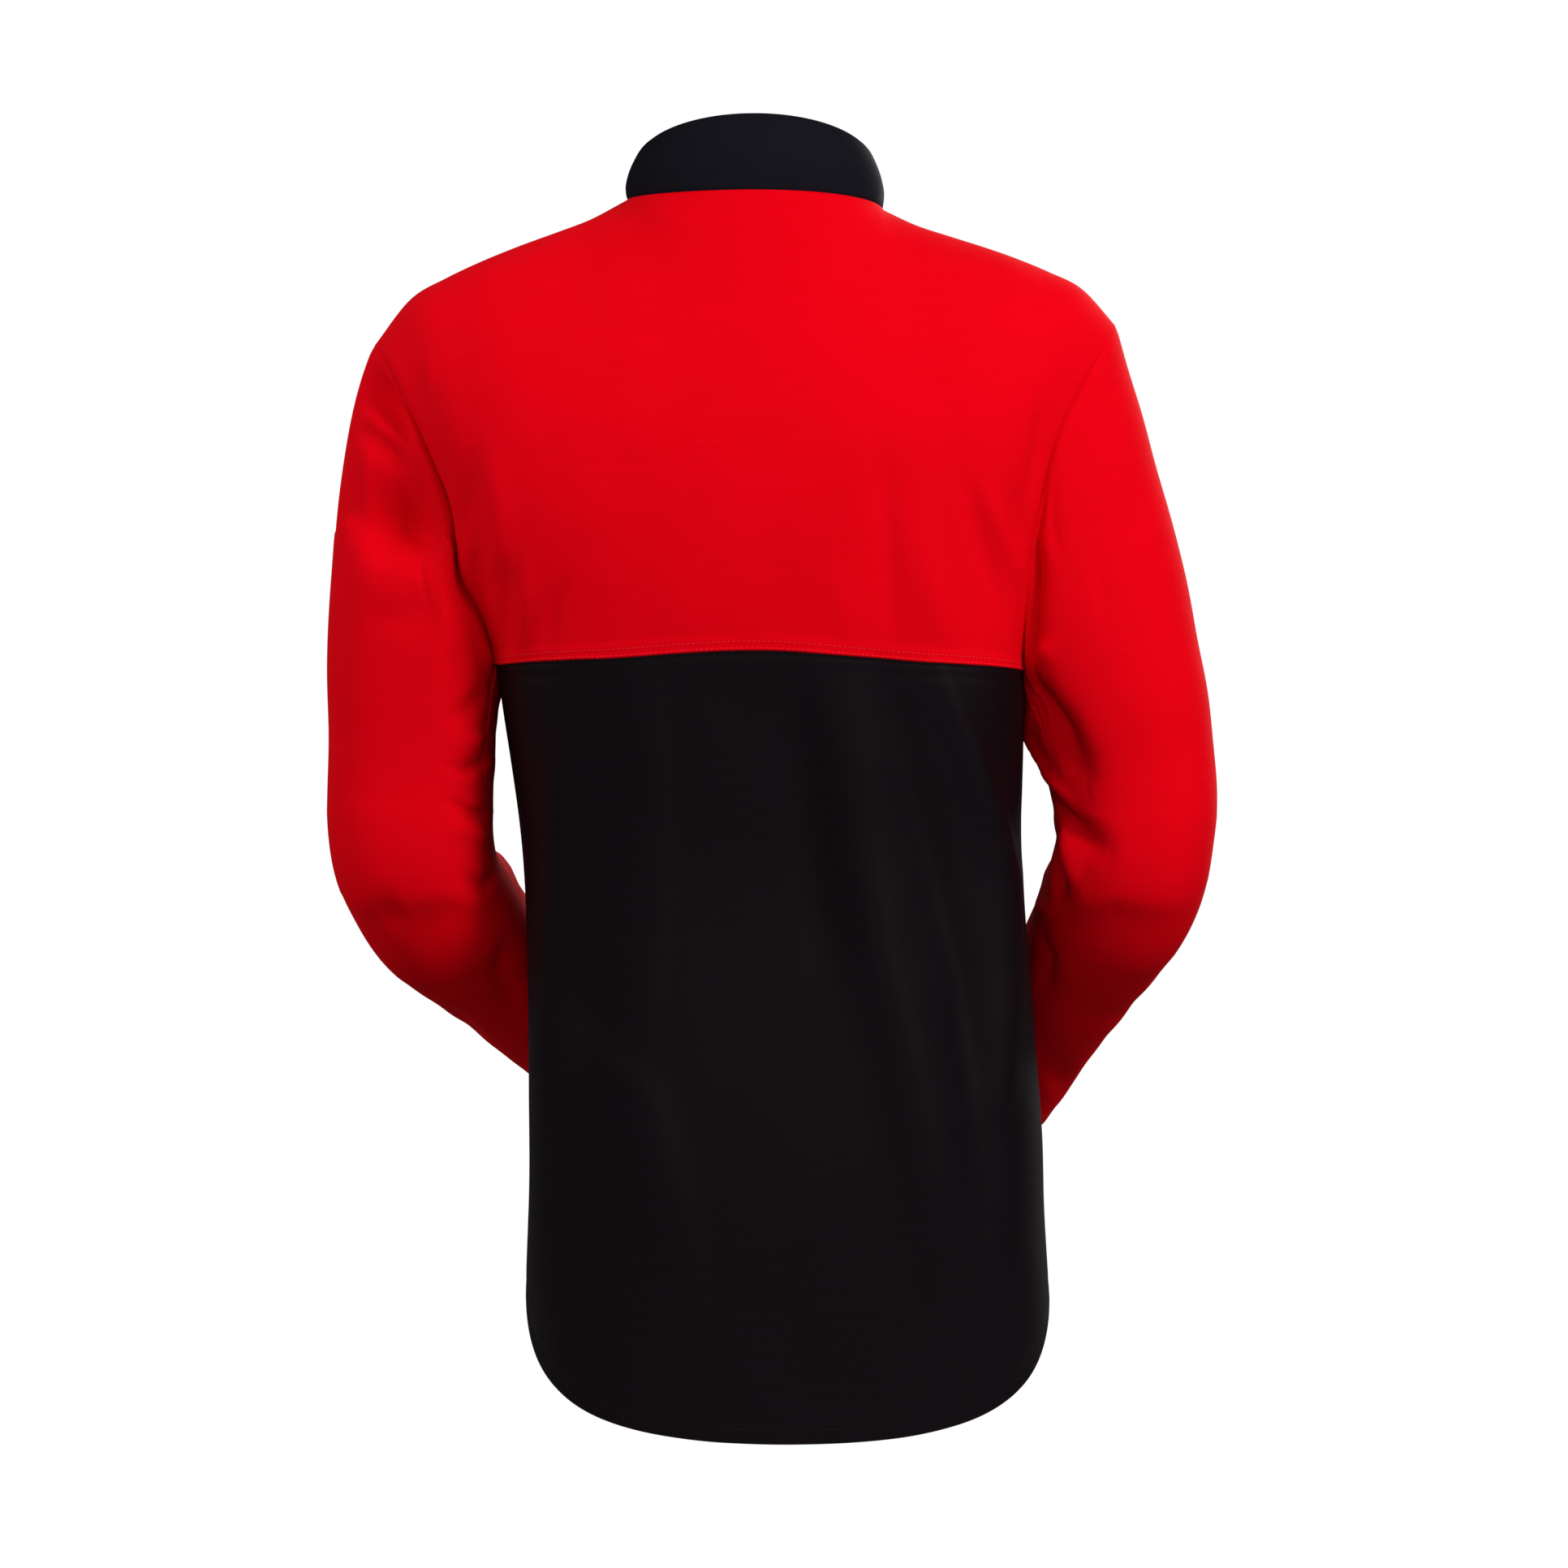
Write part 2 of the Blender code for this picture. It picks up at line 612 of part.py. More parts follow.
def main():
    for old in list(bpy.data.objects):
        bpy.data.objects.remove(old, do_unlink=True)
    collection = bpy.data.collections.new(NAME)
    bpy.context.scene.collection.children.link(collection)
    back, front = body_panel("back"), body_panel("front")
    seam = LOWER_ROWS + YOKE_ROW
    grids = {
        "back_lower": (back[: seam + 1], False),
        "back_upper": (back[seam:], False),
        "front_lower": (front[: seam + 1, ::-1], False),
        "front_upper": (front[seam:, ::-1], False),
        "collar": (collar(back, front), True),
    }
    for side, toward in SIDES:
        rings = folded_sleeve(side, toward, armhole(side, back, front))
        for part, first, last in SLEEVE_PARTS:
            grids[f"sleeve_{side}_{part}"] = (rings[first : last + 1], True)
    places = normals_at_places(grids)
    for name, (grid, closed) in grids.items():
        thickness = COLLAR_CLOTH if name == "collar" else JERSEY
        colour = RED if "upper" in name or "sleeve" in name else BLACK
        own, meeting, shared = piece_normals(name, grid, places)
        outer = drawn_back(grid, own, meeting, shared, closed)
        piece = wall(name, outer, own, closed, thickness, colour)
        collection.objects.link(piece)


main()
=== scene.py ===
import math

import bpy
import numpy as np
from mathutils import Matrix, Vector


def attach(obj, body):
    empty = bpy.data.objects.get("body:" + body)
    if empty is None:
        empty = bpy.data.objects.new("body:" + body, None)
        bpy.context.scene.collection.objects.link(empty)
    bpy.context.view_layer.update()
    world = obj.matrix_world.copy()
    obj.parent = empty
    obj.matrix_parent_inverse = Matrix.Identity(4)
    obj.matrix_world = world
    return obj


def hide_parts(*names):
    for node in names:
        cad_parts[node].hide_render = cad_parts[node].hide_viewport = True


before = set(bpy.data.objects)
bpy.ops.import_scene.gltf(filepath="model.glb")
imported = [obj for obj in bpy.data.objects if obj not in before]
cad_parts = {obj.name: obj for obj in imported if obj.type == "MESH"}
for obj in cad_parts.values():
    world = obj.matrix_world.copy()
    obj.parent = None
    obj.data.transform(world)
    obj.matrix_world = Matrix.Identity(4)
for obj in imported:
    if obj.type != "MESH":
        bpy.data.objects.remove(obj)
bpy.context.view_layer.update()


# ---- Back and front of the body ----
# Four panels of fine polyester jersey: a black lower and a red upper one for the back, and the same for
# the front. Each pair is overlocked together across the body, and the red edge lies on top of the seam.
# The side and shoulder seams are overlocked, and the tail's hem is turned up once. Sizes are in
# millimetres until a mesh is made.

MM = 0.001
SHOULDER_STEPS = 7  # coarse columns along each shoulder seam
NECK_STEPS = 12  # coarse columns along half of the neckline
COLUMNS = 2 * SHOULDER_STEPS + NECK_STEPS
LOWER_ROWS = 19  # coarse rows from hem to underarm
ARM_ROWS = 14  # coarse rows from underarm to shoulder
YOKE_ROW = 2  # how many of them lie below the seam where red meets black
NECK_POINTS = (SHOULDER_STEPS, SHOULDER_STEPS + NECK_STEPS)
SEAM_ROW, TOP_ROW = LOWER_ROWS + YOKE_ROW, LOWER_ROWS + ARM_ROWS
RELAX_ROWS = 9  # how many below the shoulder seams have their bends evened out
RELAX_COLUMNS = 5  # and how many to each side of the neck points
RELAX_PASSES = 8

SIDE_SEAM_Y = -3
FULLNESS = 0.06  # how much squarer than an ellipse a section is
BODY = (
    # height, left, right, back, front
    (-770, 144, -177, 99, -111),
    (-670, 145, -177, 105, -112),
    (-610, 143, -174, 107, -113),
    (-560, 143, -172, 105, -113),
    (-510, 143, -168, 101, -112),
    (-470, 144, -165, 98, -110),
    (-430, 145, -162, 96, -109),
    (-390, 148, -160, 97, -110),
    (-350, 153, -161, 101, -113),
    (-300, 160, -162, 107, -118),
    (-250, 166, -168, 114, -121),
    (-200, 172, -174, 117, -119),
    (-150, 178, -180, 115, -112),
    (-100, 184, -186, 109, -102),
    (10, 190, -190, 98, -84),
)
HEM_SIDE = -664  # height of the hem at the side seams
TAIL_DROP = {"back": 86, "front": 70}  # how much lower the tail's middle is
TAIL_CURVE = 2.15  # the higher, the squarer the tail
HEM_ROUNDING = 0.05  # share of the width over which the hem turns at a side seam

UNDERARM_Z = {"left": -297, "right": -301}
SHOULDER_TIP = {"left": (238, 0, -86), "right": (-218, 0, -74)}
ARMHOLE_SCOOP = {"left": 11, "right": 20}
ARMHOLE_BULGE = {"left": (0.31, 0.11, 9), "right": (0.7, 0.15, -4)}  # share of the height, width, size
ARMHOLE_DEPTH = {"back": 66, "front": 60}
YOKE_ANGLE = 27  # degrees round the armhole, from underarm to colour seam
YOKE_SHARE = 0.07  # share of the way from underarm to neckline where that seam crosses the middle
YOKE_ARCH = 0.28  # how much smaller that share is towards the shoulders, so that the seam arches
SHOULDER_DROP = (
    # share of the way from collar to tip, share of the drop
    (0.0, 0.0),
    (0.13, 0.125),
    (0.38, 0.29),
    (0.66, 0.50),
    (0.85, 0.68),
    (0.95, 0.84),
    (1.0, 1.0),
)
NECK_X = 4  # the neckline's middle lies a little to the left
NECK = {"half": 79, "back": 63, "front": -72, "side_y": 0}
NECK_Z = {"left": 3, "right": -3, "back": 2, "front": -70}

# Places in coarse columns and rows where the fine cloth has its points, closer together beside seams
ACROSS_RUNS = (
    # from, to, steps
    (0, 0.12, 3),
    (0.12, 0.6, 4),
    (0.6, NECK_POINTS[0], 45),
    (*NECK_POINTS, 84),
    (NECK_POINTS[1], COLUMNS - 0.6, 45),
    (COLUMNS - 0.6, COLUMNS - 0.12, 4),
    (COLUMNS - 0.12, COLUMNS, 3),
)
UP_RUNS = (
    (0, 0.12, 3),
    (0.12, 1, 6),
    (1, LOWER_ROWS, 126),
    (LOWER_ROWS, SEAM_ROW - 0.3, 12),
    (SEAM_ROW - 0.3, SEAM_ROW, 4),
    (SEAM_ROW, SEAM_ROW + 0.12, 4),
    (SEAM_ROW + 0.12, SEAM_ROW + 0.6, 6),
    (SEAM_ROW + 0.6, TOP_ROW - 0.3, 78),
    (TOP_ROW - 0.3, TOP_ROW, 4),
)

# Folds as lines of points at x and z, running down, with the half width towards the shirt's left, the
# one towards its right, and the height: above 0 a ridge, below it a hollow
FOLDS = {
    "back": (
        # the black panel
        (
            ((-41, -291), (-56, -349), (-65, -412), (-75, -466), (-89, -519), (-106, -615), (-112, -659)),
            20,
            20,
            9.0,
        ),
        (((-18, -291), (-23, -349), (-30, -422), (-40, -481)), 14, 14, -3.0),
        (((-74, -291), (-96, -373), (-108, -422), (-120, -470), (-128, -525), (-134, -616)), 14, 11, -5.5),
        (((-107, -291), (-125, -334), (-139, -373), (-148, -413), (-151, -473), (-147, -545)), 13, 8, 7.5),
        (((65, -301), (60, -373), (64, -472), (66, -519)), 26, 8, 2.5),
        (((119, -296), (125, -398), (126, -497)), 10, 7, 3.0),
        (((115, -506), (66, -543), (51, -592), (37, -663)), 30, 10, 3.5),
        # the red panel
        (((201, -100), (199, -124)), 4, 4, 1.2),
        (((163, -159), (159, -197), (158, -237)), 13, 11, 4.0),
        (((175, -169), (171, -198), (170, -227), (166, -256)), 8, 11, -6.0),
        (((139, -222), (140, -247), (143, -278)), 5, 5, 2.2),
        (((116, -235), (124, -252), (130, -276)), 5, 5, -2.8),
        (((154, -227), (154, -256), (152, -278)), 6, 6, -2.5),
        (((-44, -228), (-49, -253), (-54, -276)), 10, 10, 1.6),
        (((-74, -162), (-76, -210), (-78, -272)), 10, 7, -2.5),
        (((-92, -204), (-102, -247), (-107, -276)), 12, 12, 2.5),
        (((-133, -179), (-146, -213), (-155, -234)), 5, 4, 2.5),
        (((-151, -178), (-155, -198), (-156, -217)), 5, 5, -2.5),
        (((-124, -179), (-134, -218), (-144, -251)), 8, 5, -2.5),
        (((-169, -129), (-166, -159), (-161, -187)), 5, 4, -3.0),
    ),
    "front": (
        (((70, -285), (80, -380), (92, -480), (110, -650)), 16, 16, 6.0),
        (((36, -300), (40, -400), (48, -500)), 18, 18, -4.5),
        (((-20, -300), (-16, -430), (-8, -560)), 28, 28, 3.5),
        (((-84, -300), (-80, -410), (-72, -520)), 18, 18, -4.5),
        (((-116, -300), (-132, -360), (-142, -420)), 13, 13, 5.0),
        (((122, -150), (136, -210), (146, -275)), 11, 11, -4.0),
        (((-118, -150), (-132, -210), (-142, -275)), 11, 11, -4.0),
        (((64, -140), (76, -200), (90, -260)), 16, 16, -3.0),
        (((-60, -150), (-70, -200), (-78, -255)), 14, 14, -2.5),
        (((-40, -520), (-74, -590), (-104, -650)), 22, 22, -4.0),
    ),
}

FOLD_FADE = {"side": 14, "top": 40}  # folds run out this near to side seams, shoulder seams and neckline
WAVE = {"size": 60, "fade": 20}  # the cloth's unevenness, and where it runs out beside the side seams
UNDULATION = 0.45  # how high it is
WAVES = 14  # how many waves it is made of

SEAM_DIP = 0.8  # how far the cloth is drawn in along a seam
SEAM_REACH = 1.3  # and how far from the seam
# The colour seam, as height and reach: both edges dip at it, the red one's fold stands proud above it,
# and so does the seam allowance, between a short rise and a softer fall
YOKE_DIP = {"red": (0.5, 0.5), "black": (0.5, 2.5)}
YOKE_LIP = (0.7, 1.8)
YOKE_BAND = (0.5, 7.5)
BAND_RISE, BAND_FALL = (0.2, 1.2), 2.5
HEM_TURN = {"body": 11.0, "cuff": 20.0}  # how wide each hem is
HEM_ROWS = 3.0  # between its two rows of stitches
ROW_DIP = {"body": (0.3, 1.5), "cuff": (0.35, 1.5)}  # how far such a row draws the cloth in, and where
HEM_LAYER = 0.7  # what the turned-up cloth adds, pressed flat
JERSEY = 1.0  # one layer of cloth
EDGE_ROUNDING = 0.8  # how round a cut or folded edge is, 1 for a half circle


def column(table, index):
    return np.array([row[index] for row in table], float)


def curve(at, xs, ys):
    """A smooth curve through a table's points, read at each value of at."""
    slopes = np.gradient(ys, xs)
    at = np.clip(at, xs[0], xs[-1])
    k = np.clip(np.searchsorted(xs, at) - 1, 0, len(xs) - 2)
    step = xs[k + 1] - xs[k]
    u = (at - xs[k]) / step
    start = ys[k] * (1 + 2 * u) * (1 - u) ** 2 + slopes[k] * step * u * (1 - u) ** 2
    end = ys[k + 1] * u * u * (3 - 2 * u) + slopes[k + 1] * step * u * u * (u - 1)
    return start + end


def body_at(z, name):
    """Where the body's left or right side, its back or its front is, at a height."""
    names = ("height", "left", "right", "back", "front")
    return curve(z, column(BODY, 0), column(BODY, names.index(name)))


def ease(share, start=0.0, end=1.0):
    """0 up to start and 1 from end on, with a smooth step between them."""
    u = np.clip((share - start) / (end - start), 0, 1)
    return u * u * (3 - 2 * u)


def round_section(turn):
    """Across and out on a squarish half ellipse, from turn 0 at the left to pi at the right."""
    across = (np.cos(turn) - FULLNESS * np.cos(3 * turn)) / (1 - FULLNESS)
    out = (np.sin(turn) + FULLNESS * np.sin(3 * turn)) / (1 - FULLNESS)
    return across, out


def section_out(across):
    """How far out such a half ellipse is, at a place across it."""
    turns = np.linspace(0, math.pi, 181)
    across_at, out_at = round_section(turns)
    return np.interp(across, across_at[::-1], out_at[::-1])


def stack(x, y, z):
    return np.stack(np.broadcast_arrays(x, y, z), axis=-1).astype(float)


def unit(vectors):
    return vectors / np.maximum(np.linalg.norm(vectors, axis=-1, keepdims=True), 1e-9)


def neck_ring(face, turns, ring, heights):
    """Points on half of the neckline or of the collar's top edge."""
    across, out = np.cos(turns), np.sin(turns)
    x = NECK_X + ring["half"] * across
    y = ring["side_y"] + (ring[face] - ring["side_y"]) * out
    side = heights.get("side")
    if side is None:
        side = heights["left"] * (1 + across) / 2 + heights["right"] * (1 - across) / 2
    if face == "back":
        z = side + (heights["back"] - side) * out
    else:
        z = side - (heights["back"] - side) * out
        z = z + (heights["front"] + heights["back"] - 2 * side) * out**2
    return stack(x, y, z)


def top_edge(face):
    """Shoulder seam, half the neckline and the other shoulder seam, from the left tip to the right."""
    neck = neck_ring(face, np.linspace(0, math.pi, NECK_STEPS + 1), NECK, NECK_Z)
    share = np.linspace(0, 1, SHOULDER_STEPS + 1)
    drop = curve(share, column(SHOULDER_DROP, 0), column(SHOULDER_DROP, 1))
    lines = {}
    for side, start in (("left", neck[0]), ("right", neck[-1])):
        tip = np.array(SHOULDER_TIP[side], float)
        x, y = (start[i] + (tip[i] - start[i]) * share for i in (0, 1))
        lines[side] = stack(x, y, start[2] + (tip[2] - start[2]) * drop)
    return np.concatenate([lines["left"][::-1], neck[1:-1], lines["right"]])


def lower_rows(face):
    """Rows of points from the hem up to the underarm."""
    share = np.linspace(0, 1, COLUMNS + 1)
    from_side = np.hypot(1 - abs(2 * share - 1), HEM_ROUNDING) - HEM_ROUNDING
    from_side /= from_side.max()
    hem = HEM_SIDE - TAIL_DROP[face] * (1 - (1 - from_side) ** TAIL_CURVE)
    underarm = UNDERARM_Z["left"] + (UNDERARM_Z["right"] - UNDERARM_Z["left"]) * share
    up = np.linspace(0, 1, LOWER_ROWS + 1)[:, None]
    z = hem + (underarm - hem) * up
    across, out = round_section(math.pi * share)
    left, right = body_at(z, "left"), body_at(z, "right")
    x = (left + right) / 2 + (left - right) / 2 * across
    y = SIDE_SEAM_Y + (body_at(z, face) - SIDE_SEAM_Y) * out
    return stack(x, y, z)


def armhole_x(side, up):
    """Where the armhole is across the body, at a share of the way up from underarm to shoulder tip."""
    low = body_at(np.array(float(UNDERARM_Z[side])), side)
    toward = 1 if side == "left" else -1
    scoop = ARMHOLE_SCOOP[side] * np.sin(math.pi * np.clip(up, 0, 1) ** 0.9)
    at, width, bulge = ARMHOLE_BULGE[side]
    scoop = scoop - bulge * np.exp(-(((up - at) / width) ** 2))
    return low + (SHOULDER_TIP[side][0] - low) * up - toward * scoop


def stops(runs):
    """Places along a coarse grid, from runs joined end to end."""
    parts = [np.linspace(start, end, steps, endpoint=False) for start, end, steps in runs]
    return np.append(np.concatenate(parts), runs[-1][1])


def heights_up():
    """The share of the height that each row above the underarm reaches, in each column.

    Rows follow the armhole's round at its edge, crowd together towards the shoulder seams, and are even
    below the neck, and the columns beside each other blend these three.
    """
    angle = stops(((0, YOKE_ANGLE, YOKE_ROW), (YOKE_ANGLE, 180, ARM_ROWS - YOKE_ROW)))
    level = stops(((0, YOKE_SHARE, YOKE_ROW), (YOKE_SHARE, 1, ARM_ROWS - YOKE_ROW)))
    edge = (1 - np.cos(np.radians(angle))) / 2
    crowded = 1 - (1 - level) ** 2
    shoulder = level + (crowded - level) * ease(level, YOKE_SHARE, 0.6)
    shoulder = shoulder * (1 - YOKE_ARCH * (1 - ease(level, YOKE_SHARE, 0.4)))
    from_side = np.minimum(np.arange(COLUMNS + 1), COLUMNS - np.arange(COLUMNS + 1))
    at_edge = np.clip(1 - from_side / 3, 0, 1) ** 2
    at_neck = ease(from_side, SHOULDER_STEPS, COLUMNS / 2)
    mixed = shoulder[:, None] * (1 - at_neck) + level[:, None] * at_neck
    return (mixed * (1 - at_edge) + edge[:, None] * at_edge)[1:], at_neck


def upper_rows(face, first):
    """Rows of points from above the underarm up to the shoulder seams and the neckline."""
    top = top_edge(face)
    up, at_neck = heights_up()
    share = np.linspace(0, 1, COLUMNS + 1)
    z = first[:, 2] + (top[:, 2] - first[:, 2]) * up
    left, right = armhole_x("left", up), armhole_x("right", up)
    middle, half = (left + right) / 2, (left - right) / 2
    # across: a squarish half ellipse between the armholes, and further up the top edge's own places
    depth = body_at(z, face) - SIDE_SEAM_Y
    edge_depth = ARMHOLE_DEPTH[face] * 2 * np.sqrt(np.minimum(up, 0.5) * (1 - np.minimum(up, 0.5)))
    edge_turn = np.arcsin(np.clip(edge_depth / abs(depth), 0, 0.95))
    across, _ = round_section(edge_turn + (math.pi - 2 * edge_turn) * share)
    across_0, out_0 = round_section(edge_turn)
    tips = (top[0, 0] + top[-1, 0]) / 2, (top[0, 0] - top[-1, 0]) / 2
    at_top = (top[:, 0] - tips[0]) / tips[1]
    place = across / across_0 * (1 - ease(up)) + at_top * ease(up)
    x = middle + half * place
    # out: from the armhole's edge to the body's full depth, and near the top over onto the shoulder seams
    out = section_out(place * across_0)
    sign = 1 if face == "back" else -1
    edge_y = sign * edge_depth + SIDE_SEAM_Y * (1 - up)
    y = edge_y + (body_at(z, face) - edge_y) * (out - out_0) / (1 - out_0)
    left_over = np.clip((1 - up) * 2, 0, 1)
    over_shoulder = np.sqrt(left_over * (2 - left_over))
    beside_neck = np.sin(left_over * math.pi / 2)
    reach = over_shoulder * (1 - at_neck) + beside_neck * at_neck
    y = top[:, 1] + (y - top[:, 1]) * reach
    rows = stack(x, y, z)
    rows[-1] = top
    return rows


def relaxed(grid):
    """The grid with its bends evened out beside both neck points."""
    rows, columns = np.arange(len(grid))[:, None], np.arange(COLUMNS + 1)
    from_side = np.minimum(columns, COLUMNS - columns)
    near = ease(RELAX_COLUMNS - abs(from_side - SHOULDER_STEPS - 1), 0, 4)
    below = len(grid) - 1 - rows
    near = near * ease(RELAX_ROWS - below, 0, 6) * ease(below, 0, 3)
    share = near[1:-1, 1:-1, None]
    for _ in range(RELAX_PASSES):
        beside = (grid[1:-1, 2:] + grid[1:-1, :-2]) / 2
        above = (grid[2:, 1:-1] + grid[:-2, 1:-1]) / 2
        grid[1:-1, 1:-1] += share * ((beside + above) / 2 - grid[1:-1, 1:-1])
    return grid


def sampled(grid, places):
    """A grid read between its rows, on a smooth curve through them."""
    padded = np.concatenate([2 * grid[:1] - grid[1:2], grid, 2 * grid[-1:] - grid[-2:-1]])
    k = np.minimum(places.astype(int), len(grid) - 2)
    u = (places - k).reshape(-1, *[1] * (grid.ndim - 1))
    a, b, c, d = (padded[k + i] for i in range(4))
    return b + u / 2 * (c - a + u * (2 * a - 5 * b + 4 * c - d + u * (3 * (b - c) + d - a)))


def grid_normals(grid, closed=False):
    """Unit normals of a grid whose columns times rows point outwards."""
    if closed:
        along = np.roll(grid, -1, axis=1) - np.roll(grid, 1, axis=1)
    else:
        along = np.gradient(grid, axis=1)
    return unit(np.cross(along, np.gradient(grid, axis=0)))


def edge_distance(view):
    """How far each point lies from the first row of the view, along its column."""
    steps = np.linalg.norm(np.diff(view, axis=0), axis=-1)
    return np.concatenate([np.zeros_like(steps[:1]), np.cumsum(steps, axis=0)])


def across_distance(view):
    """How far each point lies from the first column of the view, along its row."""
    return edge_distance(view.swapaxes(0, 1)).T


def hem_thickness(from_hem, turn):
    """How thick the cloth is at a distance from its hem: one layer, and more where it is turned up."""
    return JERSEY + HEM_LAYER * (1 - ease(from_hem, turn - 1, turn + 1))


def sink(view, along, depth=SEAM_DIP, reach=SEAM_REACH, at=0.0):
    """Draws the cloth in beside a seam or stitching at a distance from the view's first row."""
    off = (edge_distance(view) - at) / reach
    view -= depth * np.exp(-(off**2))[..., None] * along


def relief(places, folds):
    """How far folds raise or sink the cloth at places given as pairs, a quarter as far at their ends."""
    total = np.zeros(places.shape[:-1])
    for line, left, right, height in folds:
        line = np.array(line, float)
        runs = np.diff(line, axis=0)
        lengths = np.linalg.norm(runs, axis=1)
        before = np.concatenate([[0], np.cumsum(lengths)])
        nearest = np.full(total.shape, np.inf)
        share, width = np.zeros(total.shape), np.full(total.shape, float(left))
        for k, run in enumerate(runs):
            away = places - line[k]
            along = np.clip(away @ run / lengths[k] ** 2, 0, 1)
            off = away - along[..., None] * run
            distance = np.linalg.norm(off, axis=-1)
            closer = distance < nearest
            nearest = np.where(closer, distance, nearest)
            share = np.where(closer, (before[k] + along * lengths[k]) / before[-1], share)
            turn = run[0] * off[..., 1] - run[1] * off[..., 0]
            width = np.where(closer, np.where(turn > 0, left, right), width)
        ends = 1 - 0.75 * np.clip(abs(2 * share - 1), 0, 1) ** 2
        total += height * ends * np.exp(-((nearest / width) ** 2))
    return total


def undulation(places, seed, size):
    """Small smooth unevenness of the cloth, from waves in many directions."""
    random = np.random.default_rng(seed)
    total = np.zeros(places.shape[:-1])
    for _ in range(WAVES):
        turn, phase = random.uniform(0, 2 * math.pi, 2)
        wave = size * random.uniform(0.6, 1.8)
        # longer up and down than across, as hanging cloth has them
        heading = np.array((math.cos(turn), 0.45 * math.sin(turn))) * 2 * math.pi / wave
        total += np.sin(places @ heading + phase)
    return total / math.sqrt(WAVES)


def faces_of(rows, columns, closed, wide):
    """Each face's four point numbers, on the grid and on a flat pattern that is wide points across."""
    r = np.arange(rows - 1)[:, None]
    c = np.arange(columns if closed else columns - 1)[None]
    both = []
    for width, after in ((columns, (c + 1) % columns), (wide, c + 1)):
        corners = [r * width + c, r * width + after, (r + 1) * width + after, (r + 1) * width + c]
        both.append(np.stack(np.broadcast_arrays(*corners), axis=-1).reshape(-1, 4))
    return both


def rim_loops(rows, columns, closed):
    """The free edges as lists of point numbers, with the cloth on the left when seen from outside."""
    number = np.arange(rows * columns).reshape(rows, columns)
    if closed:
        return [number[0], number[-1, ::-1]]
    around = [number[0, :-1], number[:-1, -1], number[-1, :0:-1], number[:0:-1, 0]]
    return [np.concatenate(around)]


def placed(name, data):
    """A new object of the scene, at the origin."""
    made = bpy.data.objects.new(name, data)
    bpy.context.scene.collection.objects.link(made)
    return made


def wall(name, grid, thickness, marks, closed=False):
    """A closed wall of cloth with rounded edges from its outer face, with marks as its flat pattern."""
    rows, columns = grid.shape[:2]
    normals = grid_normals(grid, closed)
    count = rows * columns
    outer = grid.reshape(-1, 3)
    inner = outer - (normals * np.broadcast_to(thickness, grid.shape[:2])[..., None]).reshape(-1, 3)
    quads, pattern = faces_of(rows, columns, closed, marks.shape[1])
    flat = marks.reshape(-1, 2)
    points, faces, maps = [outer, inner], [quads, quads[:, ::-1] + count], []
    maps += [flat[pattern].reshape(-1, 2), flat[pattern[:, ::-1]].reshape(-1, 2)]
    # each edge is closed over one more row of points, halfway through the cloth and a little further out
    first = 2 * count
    flat_at = marks[:, :columns].reshape(-1, 2)
    for loop in rim_loops(rows, columns, closed):
        after = np.roll(loop, -1)
        side = unit(np.cross(normals.reshape(-1, 3)[loop], outer[after] - outer[loop]))
        side = unit(side + np.roll(side, 1, axis=0))
        half = np.linalg.norm(outer[loop] - inner[loop], axis=1)[:, None] / 2
        points.append((outer[loop] + inner[loop]) / 2 - side * half * EDGE_ROUNDING)
        middle = first + np.arange(len(loop))
        middle_after = np.roll(middle, -1)
        for corners in (
            (after, loop, middle, middle_after),
            (middle_after, middle, loop + count, after + count),
        ):
            faces.append(np.stack(corners, axis=1))
            here = flat_at[np.stack([after, loop, loop, after], axis=1)]
            maps.append(here.reshape(-1, 2))
        first += len(loop)
    mesh = bpy.data.meshes.new(name)
    mesh.from_pydata((np.concatenate(points) * MM).tolist(), [], np.concatenate(faces).tolist())
    layer = mesh.uv_layers.new(name="cloth")
    layer.data.foreach_set("uv", (np.concatenate(maps) * MM).astype(np.float32).ravel())
    mesh.shade_smooth()
    return placed(name, mesh)


def flat_marks(grid, level):
    """Each point's place on the flat panel: across from the middle column, up from a level row."""
    across, up = across_distance(grid), edge_distance(grid)
    middle = grid.shape[1] // 2
    return np.stack([across - across[:, middle : middle + 1], up - up[level : level + 1]], axis=-1)


def add(tree, kind, inputs=None, **settings):
    """Adds a node with its settings. Inputs are values, or the sockets that feed them."""
    made = tree.nodes.new(kind)
    for name, value in settings.items():
        setattr(made, name, value)
    for key, value in (inputs or {}).items():
        if isinstance(value, bpy.types.NodeSocket):
            tree.links.new(value, made.inputs[key])
        else:
            made.inputs[key].default_value = value
    return made


def linear(code):
    """A hex sRGB colour as linear RGBA."""
    parts = [int(code[i : i + 2], 16) / 255 for i in (1, 3, 5)]
    return (*[v / 12.92 if v <= 0.04045 else ((v + 0.055) / 1.055) ** 2.4 for v in parts], 1)


MATH, VECTOR_MATH = "ShaderNodeMath", "ShaderNodeVectorMath"
NOISE, MIX = "ShaderNodeTexNoise", "ShaderNodeMix"
WALE = 1.5  # mm between two columns of loops: finer on the real cloth, coarsened so that it shows
COURSE = 1.2  # mm between two rows of loops


